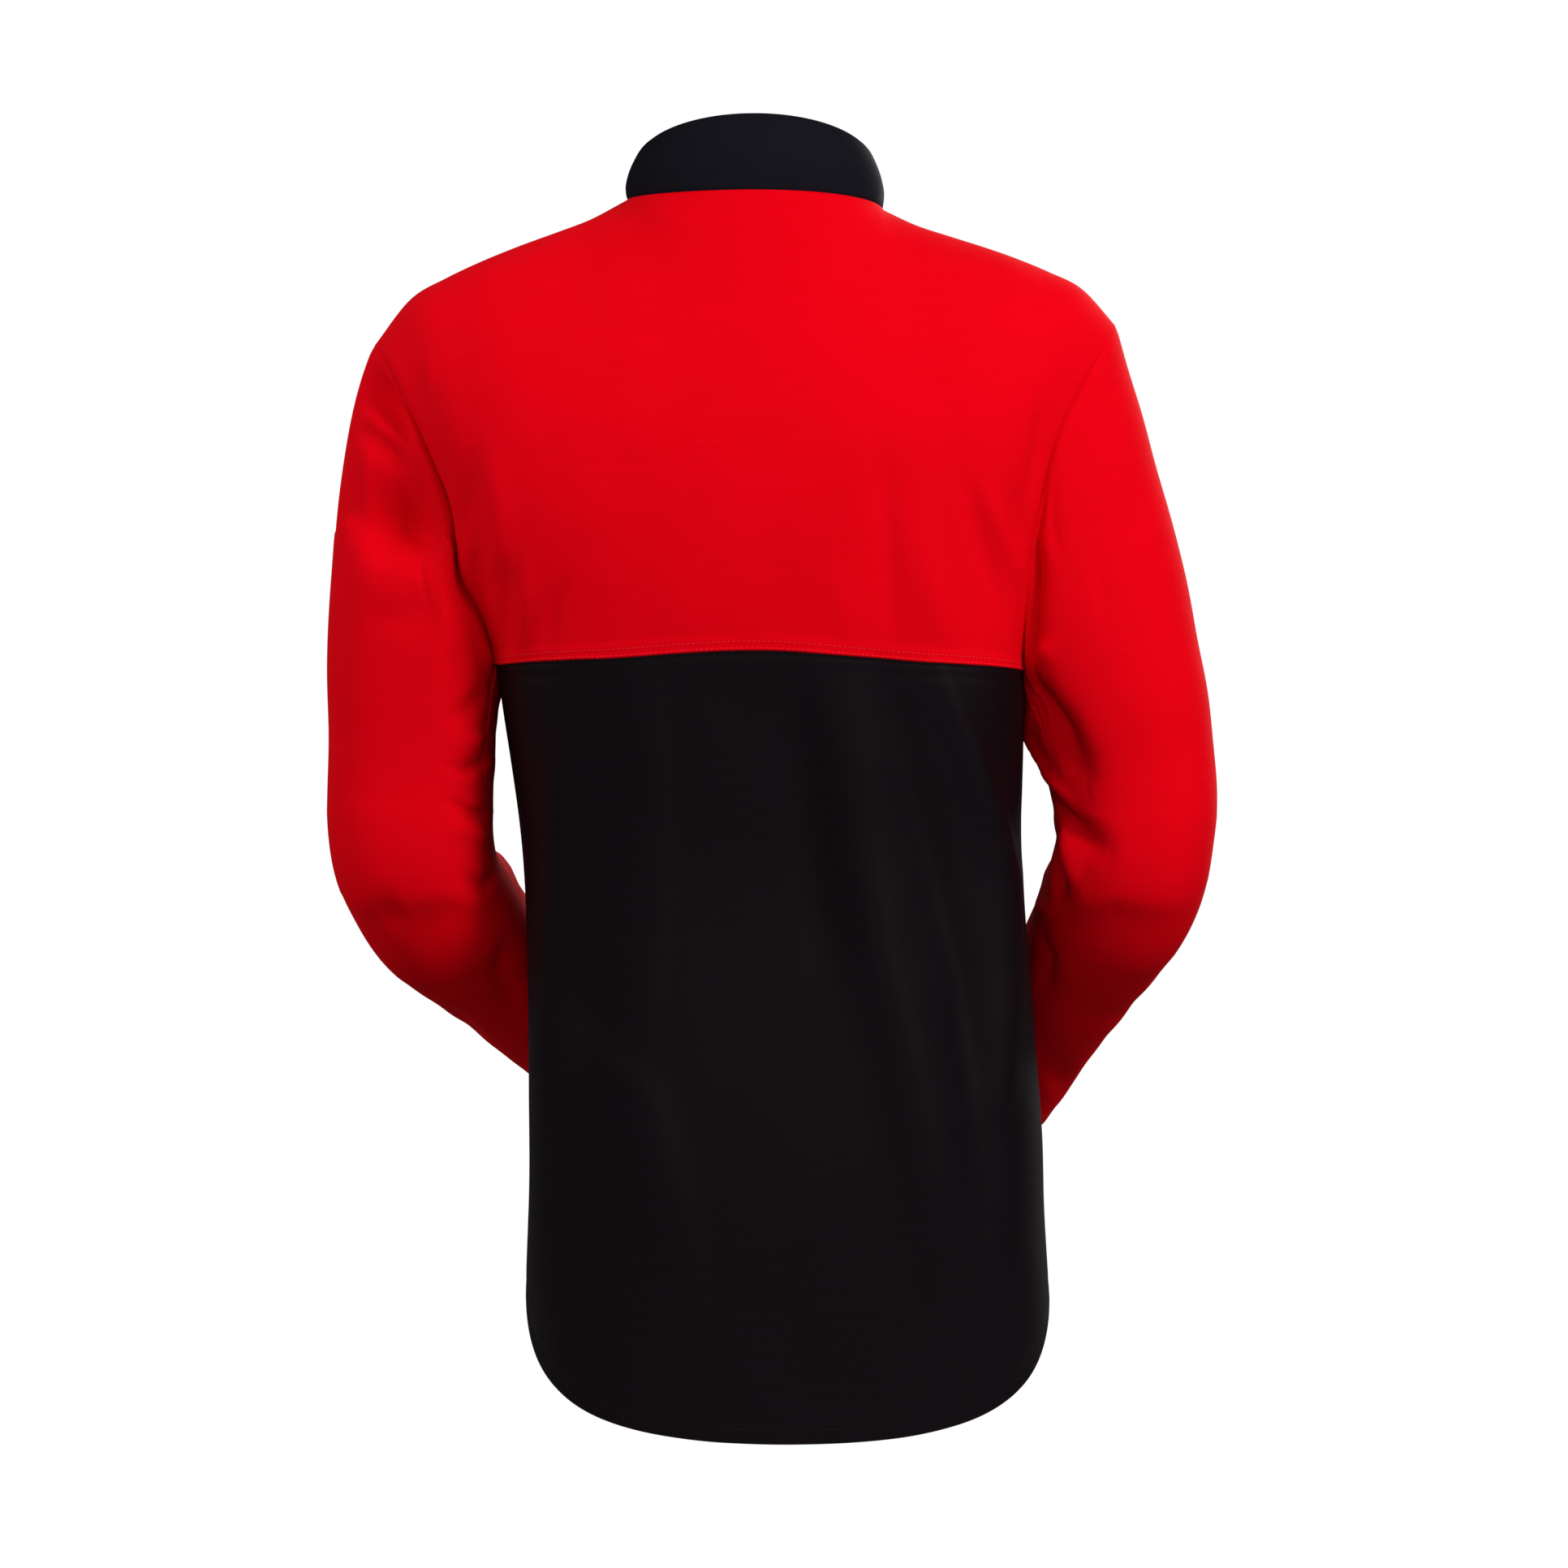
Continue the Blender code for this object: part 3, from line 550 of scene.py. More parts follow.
def jersey(name, colour, shade, roughness, gloss):
    """Fine weft-knitted polyester, nearly matt: rows of small loops with faint streaks along them."""
    material = bpy.data.materials.new(name)
    material.use_nodes = True
    tree = material.node_tree
    shader = tree.nodes["Principled BSDF"]
    flat = add(tree, "ShaderNodeUVMap", uv_map="cloth")
    mm = add(tree, VECTOR_MATH, {0: flat.outputs[0], "Scale": 1000}, operation="SCALE")
    parts = add(tree, "ShaderNodeSeparateXYZ", {0: mm.outputs[0]})
    # loops: the rows rise and fall over each column of them
    turn = add(tree, MATH, {0: parts.outputs[0], 1: math.pi / WALE}, operation="MULTIPLY")
    lean = add(tree, MATH, {0: turn.outputs[0]}, operation="SINE")
    lean = add(tree, MATH, {0: lean.outputs[0]}, operation="ABSOLUTE")
    row = add(tree, MATH, {0: parts.outputs[1], 1: 1 / COURSE}, operation="MULTIPLY")
    row = add(tree, MATH, {0: lean.outputs[0], 1: 0.5, 2: row.outputs[0]}, operation="MULTIPLY_ADD")
    row = add(tree, MATH, {0: row.outputs[0], 1: 2 * math.pi}, operation="MULTIPLY")
    row = add(tree, MATH, {0: row.outputs[0]}, operation="SINE")
    loops = add(tree, MATH, {0: row.outputs[0], 1: 0.5, 2: lean.outputs[0]}, operation="MULTIPLY_ADD")
    # colour: streaks of uneven yarn along the rows, and a faint cloud from the dye
    stretch = add(tree, VECTOR_MATH, {0: mm.outputs[0], 1: (0.03, 0.9, 1)}, operation="MULTIPLY")
    streak = add(tree, NOISE, {"Vector": stretch.outputs[0], "Scale": 0.6, "Detail": 3})
    place = add(tree, "ShaderNodeTexCoord")
    cloud = add(tree, NOISE, {"Vector": place.outputs["Object"], "Scale": 14, "Detail": 2})
    tone = add(tree, MATH, {0: streak.outputs[0], 1: 0.65}, operation="MULTIPLY")
    tone = add(tree, MATH, {0: cloud.outputs[0], 1: 0.35, 2: tone.outputs[0]}, operation="MULTIPLY_ADD")
    tone = add(tree, "ShaderNodeMapRange", {0: tone.outputs[0], 1: 0.3, 2: 0.7})
    shades = {0: tone.outputs[0], 6: linear(shade), 7: linear(colour)}
    mix = add(tree, MIX, shades, data_type="RGBA")
    tree.links.new(mix.outputs[2], shader.inputs["Base Color"])
    # surface: the loops, under a little fuzz
    fuzz = add(tree, NOISE, {"Vector": mm.outputs[0], "Scale": 1.1, "Detail": 2})
    height = add(tree, MATH, {0: loops.outputs[0], 1: 0.5, 2: fuzz.outputs[0]}, operation="MULTIPLY_ADD")
    depth = {"Strength": 0.25, "Distance": 0.0002, "Height": height.outputs[0]}
    bump = add(tree, "ShaderNodeBump", depth)
    tree.links.new(bump.outputs[0], shader.inputs["Normal"])
    shader.inputs["Roughness"].default_value = roughness
    shader.inputs["Specular IOR Level"].default_value = gloss
    return material


# The red is deep and dull, and the black keeps a faint sheen on its folds, as dyed polyester does
red_jersey = jersey("red polyester jersey", "#E60014", "#DE000F", 0.8, 0.02)
black_jersey = jersey("black polyester jersey", "#0F080D", "#0C060A", 0.55, 0.06)

ACROSS, UP = stops(ACROSS_RUNS), stops(UP_RUNS)
UNDERARM, YOKE = (int(np.argmin(abs(UP - row))) for row in (LOWER_ROWS, SEAM_ROW))
NECK_FROM, NECK_TO = (int(np.argmin(abs(ACROSS - point))) for point in NECK_POINTS)
OUTWARD = {"back": 1, "front": -1}

body = {}
for seed, face in enumerate(("back", "front")):
    low_part = lower_rows(face)
    coarse = relaxed(np.concatenate([low_part, upper_rows(face, low_part[-1])]))
    wide = sampled(coarse.swapaxes(0, 1), ACROSS).swapaxes(0, 1).copy()
    for start, end in ((0, NECK_POINTS[0]), NECK_POINTS, (NECK_POINTS[1], COLUMNS)):
        here = (ACROSS >= start) & (ACROSS <= end)
        wide[-1, here] = sampled(coarse[-1, start : end + 1], ACROSS[here] - start)
    grid = sampled(wide, UP)
    to_side = np.minimum(across_distance(grid), across_distance(grid[:, ::-1])[:, ::-1])
    to_top = edge_distance(grid[::-1])[::-1]
    places = grid[..., [0, 2]]
    height = relief(places, FOLDS[face]) * ease(to_side, 0, FOLD_FADE["side"])
    height += UNDULATION * undulation(places, seed, WAVE["size"]) * ease(to_side, 0, WAVE["fade"])
    height *= ease(to_top, 0, FOLD_FADE["top"])
    body[face] = grid + OUTWARD[face] * grid_normals(grid) * height[..., None]

outward = {face: OUTWARD[face] * grid_normals(body[face]) for face in body}
for face in body:
    # the colour seam: the red edge stands proud of the black one, which dips under it
    grid, normal = body[face], outward[face]
    sink(grid[YOKE:], normal[YOKE:], *YOKE_DIP["red"])
    above = edge_distance(grid[YOKE:])
    proud, width = YOKE_BAND
    band = proud * ease(above, *BAND_RISE) * (1 - ease(above, width, width + BAND_FALL))
    band += YOKE_LIP[0] * np.exp(-((above / YOKE_LIP[1]) ** 2))
    grid[YOKE:] += band[..., None] * normal[YOKE:]
    sink(grid[YOKE::-1][1:], normal[YOKE::-1][1:], *YOKE_DIP["black"])

# Side seams and shoulder seams are drawn in along a direction that both sides share
for edge in (0, -1):
    step = 1 if edge == 0 else -1
    shared = unit(outward["back"][: UNDERARM + 1, edge] + outward["front"][: UNDERARM + 1, edge])
    for face in body:
        view = body[face][: UNDERARM + 1].swapaxes(0, 1)[::step]
        sink(view, shared)
    columns_here = slice(0, NECK_FROM + 1) if edge == 0 else slice(NECK_TO, None)
    shared = unit(outward["back"][-1, columns_here] + outward["front"][-1, columns_here])
    for face in body:
        sink(body[face][::-1][:, columns_here], shared)
for face in body:
    neckline = slice(NECK_FROM + 1, NECK_TO)
    sink(body[face][::-1][:, neckline], outward[face][-1, neckline])
    # the narrow hem is turned up once and stitched twice
    for at in (HEM_TURN["body"] - HEM_ROWS, HEM_TURN["body"]):
        sink(body[face], outward[face], *ROW_DIP["body"], at)


# ---- Sleeves ----
# One piece of the same red jersey each, set into the armhole with an overlocked seam, with one seam from
# underarm to cuff, and a plain hem turned up 20 mm.

SIDES = (("left", 1), ("right", -1))
UPPER_ARM_RUNS = ((0, 0.012, 4), (0.012, 0.1, 7), (0.1, 1, 62))
ELBOW_RUNS = ((0, 1, 35),)
FOREARM_RUNS = ((0, 0.86, 42), (0.86, 0.99, 16), (0.99, 1, 3))
ELBOW = {
    "left": {"x": 216.5, "y": -7, "z": -374, "across": 51, "deep": 57, "bend": 72},
    "right": {"x": -230.5, "y": -5, "z": -378, "across": 50, "deep": 57, "bend": 66},
}
FOREARM = {
    "left": {"inward": 0.44, "forward": 0.74, "length": 205},
    "right": {"inward": 0.30, "forward": 0.735, "length": 205},
}
FOREARM_SIZES = (
    # share of the forearm, half width, half depth
    (0.0, 46, 53),
    (0.3, 40, 45),
    (0.6, 36, 39),
    (1.0, 32, 34),
)
SLEEVE_SQUARENESS = 0.84  # 1 for an ellipse
SLEEVE_HEAD = {"left": (0.14, 0.42), "right": (-0.03, 0.30)}  # lean outwards at the underarm and the top
HEAD_SPREAD = 0.12  # how much it spreads to the front and back as well
HEAD_REACH = 0.85  # how strongly it keeps to that direction on its way down
SLEEVE_FADE = (3.5, 25)  # folds run out this near to the armhole and to the hem
SLEEVE_WAVE = 50  # the size of its unevenness

# The armhole seam lies in a broad valley with a narrow groove at its bottom. Both give the depth, the
# reach on the sleeve and the reach on the body.
ARMHOLE_VALLEY = {"left": (4.5, 5.0, 14.0), "right": (3.0, 7.0, 6.0)}
ARMHOLE_GROOVE = {"left": (9.0, 3.0, 2.6), "right": (1.8, 1.8, 1.8)}
VALLEY_AT = {"left": (62, 42), "right": (74, 28)}  # degrees round the armhole: deepest place, spread
VALLEY_REST = 0.05  # share of the valley's depth that is left everywhere else

# Folds as lines of points: along from 0 at the armhole to 1 at the hem, and round in degrees from 0 at
# the underarm seam by 90 at the back to 180 at the outside. The first half width is the one on the left
# of the line, with along as x and round as y.
SLEEVE_FOLDS = {
    "left": (
        # the sleeve head
        (((0.134, 143), (0.118, 125), (0.085, 107), (0.030, 88)), 7, 13, -12.0),
        (((0.128, 138), (0.110, 122), (0.079, 107), (0.040, 92)), 14, 34, -18.0),
        (((0.064, 156), (0.058, 139), (0.040, 118)), 5, 5, -6.0),
        (((0.034, 160), (0.024, 140), (0.004, 118)), 7, 10, -16.0),
        (((0.070, 101), (0.099, 96), (0.120, 90)), 2.8, 2.8, -1.8),
        (((0.207, 123), (0.164, 99), (0.103, 84)), 9, 9, -2.0),
        # the inside of the elbow
        (((0.102, 37), (0.198, 52), (0.231, 60)), 7, 7, -3.0),
        (((0.187, 27), (0.260, 52)), 6, 6, 2.0),
        (((0.246, 22), (0.307, 46), (0.315, 59)), 8, 5, -4.0),
        (((0.393, 16), (0.393, 45), (0.372, 61)), 5, 6, -3.5),
        (((0.433, 16), (0.406, 48), (0.410, 64)), 5, 6, 2.5),
        (((0.491, 14), (0.479, 41), (0.452, 59)), 5, 7, -3.0),
        # elbow and forearm
        (((0.461, 153), (0.455, 106), (0.463, 73), (0.496, 36)), 8, 20, 4.0),
        (((0.473, 118), (0.464, 97)), 7, 7, -2.0),
        (((0.556, 44), (0.602, 69), (0.724, 86)), 9, 9, -3.0),
        (((0.637, 120), (0.752, 141)), 8, 8, -2.0),
        # the front, where the bent elbow bunches the cloth
        (((0.52, 345), (0.50, 285)), 8, 8, -4.0),
        (((0.60, 345), (0.58, 285)), 8, 8, 4.0),
        (((0.12, 205), (0.14, 240), (0.12, 285)), 10, 10, -4.0),
        (((0.30, 200), (0.36, 270)), 11, 11, -4.0),
    ),
    "right": (
        # below the armhole
        (((0.000, 80), (0.020, 61), (0.040, 50), (0.060, 42)), 24, 8, -15.0),
        (((0.070, 10), (0.110, 4), (0.150, 0), (0.200, 0)), 14, 14, 6.0),
        (((0.049, 48), (0.145, 69)), 6, 6, 3.0),
        (((0.080, 34), (0.178, 43), (0.231, 47), (0.340, 55)), 13, 16, -13.0),
        (((0.128, 3), (0.276, 14), (0.386, 36)), 6, 7, 5.0),
        (((0.357, 8), (0.426, 36), (0.439, 55), (0.446, 70)), 6, 6, -7.5),
        # inside the elbow
        (((0.432, 24), (0.461, 35), (0.486, 52)), 8, 6, 6.0),
        (((0.470, 0), (0.500, 27), (0.508, 41)), 9, 9, -7.5),
        (((0.618, -4), (0.535, 31)), 5, 5, 3.0),
        (((0.599, 22), (0.610, 47), (0.689, 59)), 9, 9, -5.0),
        # elbow and forearm
        (((0.521, 26), (0.478, 80), (0.479, 139)), 20, 8, 4.0),
        (((0.785, 80), (0.835, 106), (0.908, 140)), 9, 9, -3.0),
        (((0.081, 92), (0.041, 94), (0.023, 103)), 6, 6, -1.5),
        (((0.129, 111), (0.180, 100)), 7, 7, -1.5),
        # the front
        (((0.52, 345), (0.50, 285)), 8, 8, -4.0),
        (((0.60, 345), (0.58, 285)), 8, 8, 4.0),
        (((0.12, 205), (0.14, 240), (0.12, 285)), 10, 10, -4.0),
        (((0.30, 200), (0.38, 265)), 11, 11, -4.0),
    ),
}


def turned(vectors, axis, angle):
    """Vectors turned about a unit axis."""
    c, s = math.cos(angle), math.sin(angle)
    along = (vectors @ axis)[:, None] * axis
    return vectors * c + np.cross(axis, vectors) * s + along * (1 - c)


def sleeve_rings(side, toward, start, turns):
    """A sleeve as rings of points, from the armhole to its hem, and the ring where the elbow starts."""
    sizes, arm = ELBOW[side], FOREARM[side]
    centre = np.array((sizes["x"], sizes["y"], sizes["z"]), float)
    down = np.array((0.0, 0.0, -1.0))
    inward, forward = arm["inward"], arm["forward"]
    ahead = np.array((-toward * inward, -forward, -math.sqrt(1 - inward**2 - forward**2)))
    ring = stack(-toward * np.cos(turns), np.sin(turns), 0 * turns)
    ring = np.sign(ring) * abs(ring) ** SLEEVE_SQUARENESS
    scale = np.array((sizes["across"], sizes["deep"], 1.0))
    elbow = centre + ring * scale
    leave, over = SLEEVE_HEAD[side]
    out = (leave + (over - leave) * (1 - np.cos(turns)) / 2)[:, None]
    leaving = unit(down + toward * out * np.array((1.0, 0, 0)) + HEAD_SPREAD * ring * (0, 1, 0))
    reach = np.linalg.norm(elbow - start, axis=1)[:, None]
    rings = []
    # the upper arm leaves the armhole in its own direction, and reaches the elbow straight down
    for b in stops(UPPER_ARM_RUNS):
        a = 1 - b
        first = start * (1 + 2 * b) * a * a + leaving * reach * HEAD_REACH * b * a * a
        rings.append(first + elbow * b * b * (3 - 2 * b) - down * reach * b * b * a)
    at_elbow = len(rings) - 1
    # the elbow turns about a pivot inside its bend
    bend = math.acos(float(down @ ahead))
    axis = unit(np.cross(down, ahead))
    pivot = centre + sizes["bend"] * np.cross(axis, down)
    slim = np.array((*FOREARM_SIZES[0][1:], 1.0))
    for share in stops(ELBOW_RUNS)[1:]:
        moved = pivot + turned((centre - pivot)[None], axis, bend * share)[0]
        rings.append(moved + turned(ring * (scale + (slim - scale) * share), axis, bend * share))
    # the forearm goes straight on and gets slimmer
    middle, around = moved, turned(ring, axis, bend)
    across = turned(np.array(((1.0, 0, 0),)), axis, bend)[0]
    deep = turned(np.array(((0, 1.0, 0),)), axis, bend)[0]
    for share in stops(FOREARM_RUNS)[1:]:
        half = curve(share, column(FOREARM_SIZES, 0), column(FOREARM_SIZES, 1))
        depth = curve(share, column(FOREARM_SIZES, 0), column(FOREARM_SIZES, 2))
        x, y = (around @ across)[:, None] * across, (around @ deep)[:, None] * deep
        rings.append(middle + ahead * arm["length"] * share + half * x + depth * y)
    return np.array(rings), at_elbow


def girth_of(rings):
    return np.linalg.norm(rings - np.roll(rings, 1, axis=1), axis=-1).sum(axis=1)


def sleeve_relief(side, rings, turns, seed):
    """The height of a sleeve's folds and unevenness."""
    steps = np.linalg.norm(np.diff(rings, axis=0), axis=-1).mean(axis=1)
    along = np.concatenate([[0], np.cumsum(steps)])
    length, girth = along[-1], girth_of(rings)
    degrees = np.degrees(turns)
    height = np.zeros(rings.shape[:2])
    for line, left, right, tall in SLEEVE_FOLDS[side]:
        middle = (line[0][1] + line[-1][1]) / 2
        off = (degrees - middle + 180) % 360 - 180
        places = stack(along[:, None], off[None] / 360 * girth[:, None], 0)[..., :2]
        flat = [(a * length, (b - middle) / 360 * np.interp(a * length, along, girth)) for a, b in line]
        height += relief(places, ((flat, left, right, tall),))
    # read across and deep through the sleeve, so that it has no jump at the underarm seam
    waves = stack(along[:, None], np.cos(turns) * girth.mean() / 6, 0)[..., :2]
    waves_2 = stack(along[:, None], np.sin(turns) * girth.mean() / 6, 0)[..., :2]
    uneven = undulation(waves, seed, SLEEVE_WAVE) + undulation(waves_2, seed + 1, SLEEVE_WAVE)
    height += UNDULATION * uneven / 1.4  # the two together are about as high as one
    return height * (ease(along, 0, SLEEVE_FADE[0]) * ease(length - along, 0, SLEEVE_FADE[1]))[:, None]


rise = UP[UNDERARM:] - LOWER_ROWS
arm_turns = np.concatenate([rise, 2 * ARM_ROWS - rise[-2:0:-1]]) * math.pi / ARM_ROWS
outside = int(np.argmin(abs(arm_turns - math.pi)))
sleeves = {}
for side, toward in SIDES:
    edge = 0 if side == "left" else -1
    start = np.concatenate([body["back"][UNDERARM:, edge], body["front"][-2:UNDERARM:-1, edge]])
    rings, at_elbow = sleeve_rings(side, toward, start, arm_turns)
    height = sleeve_relief(side, rings, arm_turns, 10 + toward)
    normal = toward * grid_normals(rings, True)
    # the armhole seam is drawn in along a direction that body and sleeve share, taken before the folds
    beside = np.concatenate([outward["back"][UNDERARM:, edge], outward["front"][-2:UNDERARM:-1, edge]])
    shared = unit(beside + normal[0])
    rings = rings + normal * height[..., None]
    normal = toward * grid_normals(rings, True)
    middle, spread = VALLEY_AT[side]
    behind = np.exp(-(((np.degrees(arm_turns) - middle) / spread) ** 2))[:, None]
    broad = shared * (VALLEY_REST + (1 - VALLEY_REST) * behind)
    narrow = shared * (np.sin(arm_turns) ** 2)[:, None]
    count = len(rise)
    for pull, (depth, on_sleeve, on_body) in (
        (narrow, ARMHOLE_GROOVE[side]),
        (broad, ARMHOLE_VALLEY[side]),
    ):
        sink(rings, pull, depth, on_sleeve)
        for face in body:
            # round the armhole the front's points run the other way
            here = slice(0, count) if face == "back" else np.r_[0, -1 : count - 2 - len(shared) : -1]
            view = body[face][UNDERARM:].swapaxes(0, 1)[:: 1 if edge == 0 else -1]
            sink(view, pull[here], depth, on_body)
    # the seam from underarm to cuff
    sink(rings.swapaxes(0, 1), normal[:, 0], 0.5 * SEAM_DIP)
    # the hem, turned up and stitched twice
    for at in (HEM_TURN["cuff"] - HEM_ROWS, HEM_TURN["cuff"]):
        sink(rings[::-1], normal[::-1], *ROW_DIP["cuff"], at)
    sleeves[side] = rings
    # its flat pattern is laid out from the line down its outside, and from the elbow
    closed_rings = np.concatenate([rings, rings[:, :1]], axis=1)
    around, along = across_distance(closed_rings), edge_distance(closed_rings)
    around -= around[:, outside : outside + 1].copy()
    marks = np.stack([around, along[at_elbow : at_elbow + 1] - along], axis=-1)
    thickness = hem_thickness(edge_distance(rings[::-1])[::-1], HEM_TURN["cuff"])
    if toward < 0:
        rings, thickness = (np.roll(part[:, ::-1], 1, axis=1) for part in (rings, thickness))
        marks = marks[:, ::-1]
    piece = wall(f"sleeve_{side}_cloth", rings, thickness, marks, closed=True)
    piece.data.materials.append(red_jersey)
    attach(piece, "root")
    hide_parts(*(f"sleeve_{side}_{part}" for part in ("upper", "elbow", "lower")))


# ---- Back and front, with the sleeves set in ----
# The armhole seams have drawn the four panels in as well, so each gets its thickness only now: one layer
# of jersey, and two where its hem is turned up.

PANELS = (
    # name, face, first row, last row, flat width and length, flat area, slot, material, hangs from
    ("back_lower", "back", 0, YOKE, (0.50, 0.48), 0.199, "black_knit", black_jersey, ["back_upper"]),
    ("back_upper", "back", YOKE, len(UP) - 1, (0.50, 0.32), 0.129, "red_knit", red_jersey, []),
    ("front_lower", "front", 0, YOKE, (0.50, 0.48), 0.195, "black_knit", black_jersey, ["front_upper"]),
    ("front_upper", "front", YOKE, len(UP) - 1, (0.50, 0.30), 0.120, "red_knit", red_jersey, []),
)
for name, face, first, last, flat, area, slot, material, hangs in PANELS:
    rows = slice(first, last + 1)
    grid, marks = body[face][rows], flat_marks(body[face], UNDERARM)[rows]
    thickness = hem_thickness(edge_distance(body[face])[rows], HEM_TURN["body"])
    if face == "front":
        grid, marks, thickness = grid[:, ::-1], marks[:, ::-1], thickness[:, ::-1]
    piece = wall(f"{name}_cloth", grid, thickness, marks)
    piece.data.materials.append(material)
    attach(piece, "root")
    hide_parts(name)


# ---- Collar ----
# A stand collar of the black jersey, cut once and folded double along its top edge, with both raw edges
# sewn to the neckline. It stands by its own stiffness and leans a little inwards.

COLLAR_TOP = {"half": 73, "back": 50, "front": -60, "side_y": -8}
COLLAR_TOP_Z = {"side": 27, "back": 50, "front": -26}
COLLAR_BULGE = 3.5  # how far its middle stands out
COLLAR_CLOTH = 2.6  # two layers, with their seam allowance between them
FOLD_REACH = 1.1  # how far down the folded top edge is rounded
FOLD_DROP = 0.9  # how much lower its outer face lies there, and its inner face as much
NECK_SEAM = (0.6, 1.2)  # how far the seam to the neckline draws it in, and how far from the seam
COLLAR_RUNS = ((0, 0.06, 4), (0.06, 0.93, 16), (0.93, 1, 6))

neck_turns = (ACROSS[NECK_FROM : NECK_TO + 1] - SHOULDER_STEPS) * math.pi / NECK_STEPS
bottom = [body[face][-1, NECK_FROM : NECK_TO + 1] for face in ("back", "front")]
bottom = np.concatenate([bottom[0], bottom[1][1:-1][::-1]])
top = [neck_ring(face, neck_turns, COLLAR_TOP, COLLAR_TOP_Z) for face in ("back", "front")]
top = np.concatenate([top[0], top[1][1:-1][::-1]])
lean = top - top.mean(axis=0)
lean[:, 2] = 0
lean = unit(lean)
grid = np.array(
    [
        bottom + (top - bottom) * u + lean * COLLAR_BULGE * math.sin(math.pi * u)
        for u in stops(COLLAR_RUNS)
    ]
)
normal = grid_normals(grid, True)
sink(grid, normal, *NECK_SEAM)
from_top = edge_distance(grid[::-1])[::-1]
rounding = np.exp(-((from_top / FOLD_REACH) ** 2))
grid = grid - FOLD_DROP * rounding[..., None] * normal
closed_grid = np.concatenate([grid, grid[:, :1]], axis=1)
marks = np.stack([across_distance(closed_grid), edge_distance(closed_grid)], axis=-1)
# The same cloth folded double lies flatter; it is given a lighter, bluer black and less gloss than the
# panels
collar_jersey = jersey("black jersey, folded double", "#17161D", "#141319", 0.7, 0.012)
piece = wall("collar_cloth", grid, COLLAR_CLOTH - 2 * FOLD_DROP * rounding, marks, closed=True)
piece.data.materials.append(collar_jersey)
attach(piece, "root")
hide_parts("collar")


# ---- Stitching ----
# Polyester thread in two parallel rows, as a twin-needle machine sews it: along the colour seam on the
# red cloth, round the hem and round both cuffs. Each stitch is a short rounded bar sunk in the cloth.

STITCH = {
    "pitch": 3.0,
    "length": 2.2,
    "thread": 0.42,
    # each stitch's length, width and height vary between these shares
    "smallest": (0.85, 0.9, 0.6),
    "largest": (1.1, 1.1, 0.8),
}
YOKE_STITCHES = (2.0, 6.0)  # mm above the colour seam
STITCH_LIFT = 0.08  # how far the middle of the thread lies above the cloth


def line_at(view, normals, distance):
    """Points on the cloth at a distance from the view's first row, and the directions out of it."""
    off = edge_distance(view)
    points, out = [], []
    for k in range(view.shape[1]):
        row = int(np.clip(np.searchsorted(off[:, k], distance), 1, len(off) - 1))
        share = (distance - off[row - 1, k]) / (off[row, k] - off[row - 1, k])
        points.append(view[row - 1, k] * (1 - share) + view[row, k] * share)
        out.append(unit(normals[row - 1, k] * (1 - share) + normals[row, k] * share))
    return np.array(points), np.array(out)


def stitch_tree():
    """Bars of thread along the lines that it is given, at an even pitch, each lying flat on the cloth."""
    tree = bpy.data.node_groups.new("twin_needle_stitches", "GeometryNodeTree")
    panel = tree.interface
    panel.new_socket("Geometry", in_out="INPUT", socket_type="NodeSocketGeometry")
    for label, kind, value in (
        ("Pitch", "NodeSocketFloat", STITCH["pitch"] * MM),
        ("Stitch length", "NodeSocketFloat", STITCH["length"] * MM),
        ("Thread width", "NodeSocketFloat", STITCH["thread"] * MM),
        ("Seed", "NodeSocketInt", 4),
    ):
        panel.new_socket(label, in_out="INPUT", socket_type=kind).default_value = value
    panel.new_socket("Thread", in_out="INPUT", socket_type="NodeSocketMaterial")
    panel.new_socket("Geometry", in_out="OUTPUT", socket_type="NodeSocketGeometry")
    given = add(tree, "NodeGroupInput").outputs
    line = add(tree, "GeometryNodeMeshToCurve", {"Mesh": given["Geometry"]})
    spacing = {"Curve": line.outputs["Curve"], "Length": given["Pitch"]}
    line = add(tree, "GeometryNodeResampleCurve", spacing, mode="LENGTH")
    bar = add(tree, "GeometryNodeMeshUVSphere", {"Segments": 6, "Rings": 4, "Radius": 0.5})
    along = add(tree, "GeometryNodeInputTangent")
    turn = add(tree, "FunctionNodeAlignRotationToVector", {"Vector": along.outputs[0]}, axis="X")
    out = add(tree, "GeometryNodeInputNamedAttribute", {"Name": "out"}, data_type="FLOAT_VECTOR")
    up = {"Rotation": turn.outputs[0], "Vector": out.outputs[0]}
    turn = add(tree, "FunctionNodeAlignRotationToVector", up, axis="Z", pivot_axis="X")
    spread = {0: STITCH["smallest"], 1: STITCH["largest"], "Seed": given["Seed"]}
    uneven = add(tree, "FunctionNodeRandomValue", spread, data_type="FLOAT_VECTOR")
    size = {0: given["Stitch length"], 1: given["Thread width"], 2: given["Thread width"]}
    size = add(tree, "ShaderNodeCombineXYZ", size)
    size = add(tree, VECTOR_MATH, {0: size.outputs[0], 1: uneven.outputs[0]}, operation="MULTIPLY")
    bars = {
        "Points": line.outputs[0],
        "Instance": bar.outputs["Mesh"],
        "Rotation": turn.outputs[0],
        "Scale": size.outputs[0],
    }
    made = add(tree, "GeometryNodeInstanceOnPoints", bars)
    made = add(tree, "GeometryNodeRealizeInstances", {"Geometry": made.outputs[0]})
    coloured = {"Geometry": made.outputs[0], "Material": given["Thread"]}
    made = add(tree, "GeometryNodeSetMaterial", coloured)
    result = add(tree, "NodeGroupOutput")
    tree.links.new(made.outputs[0], result.inputs[0])
    return tree


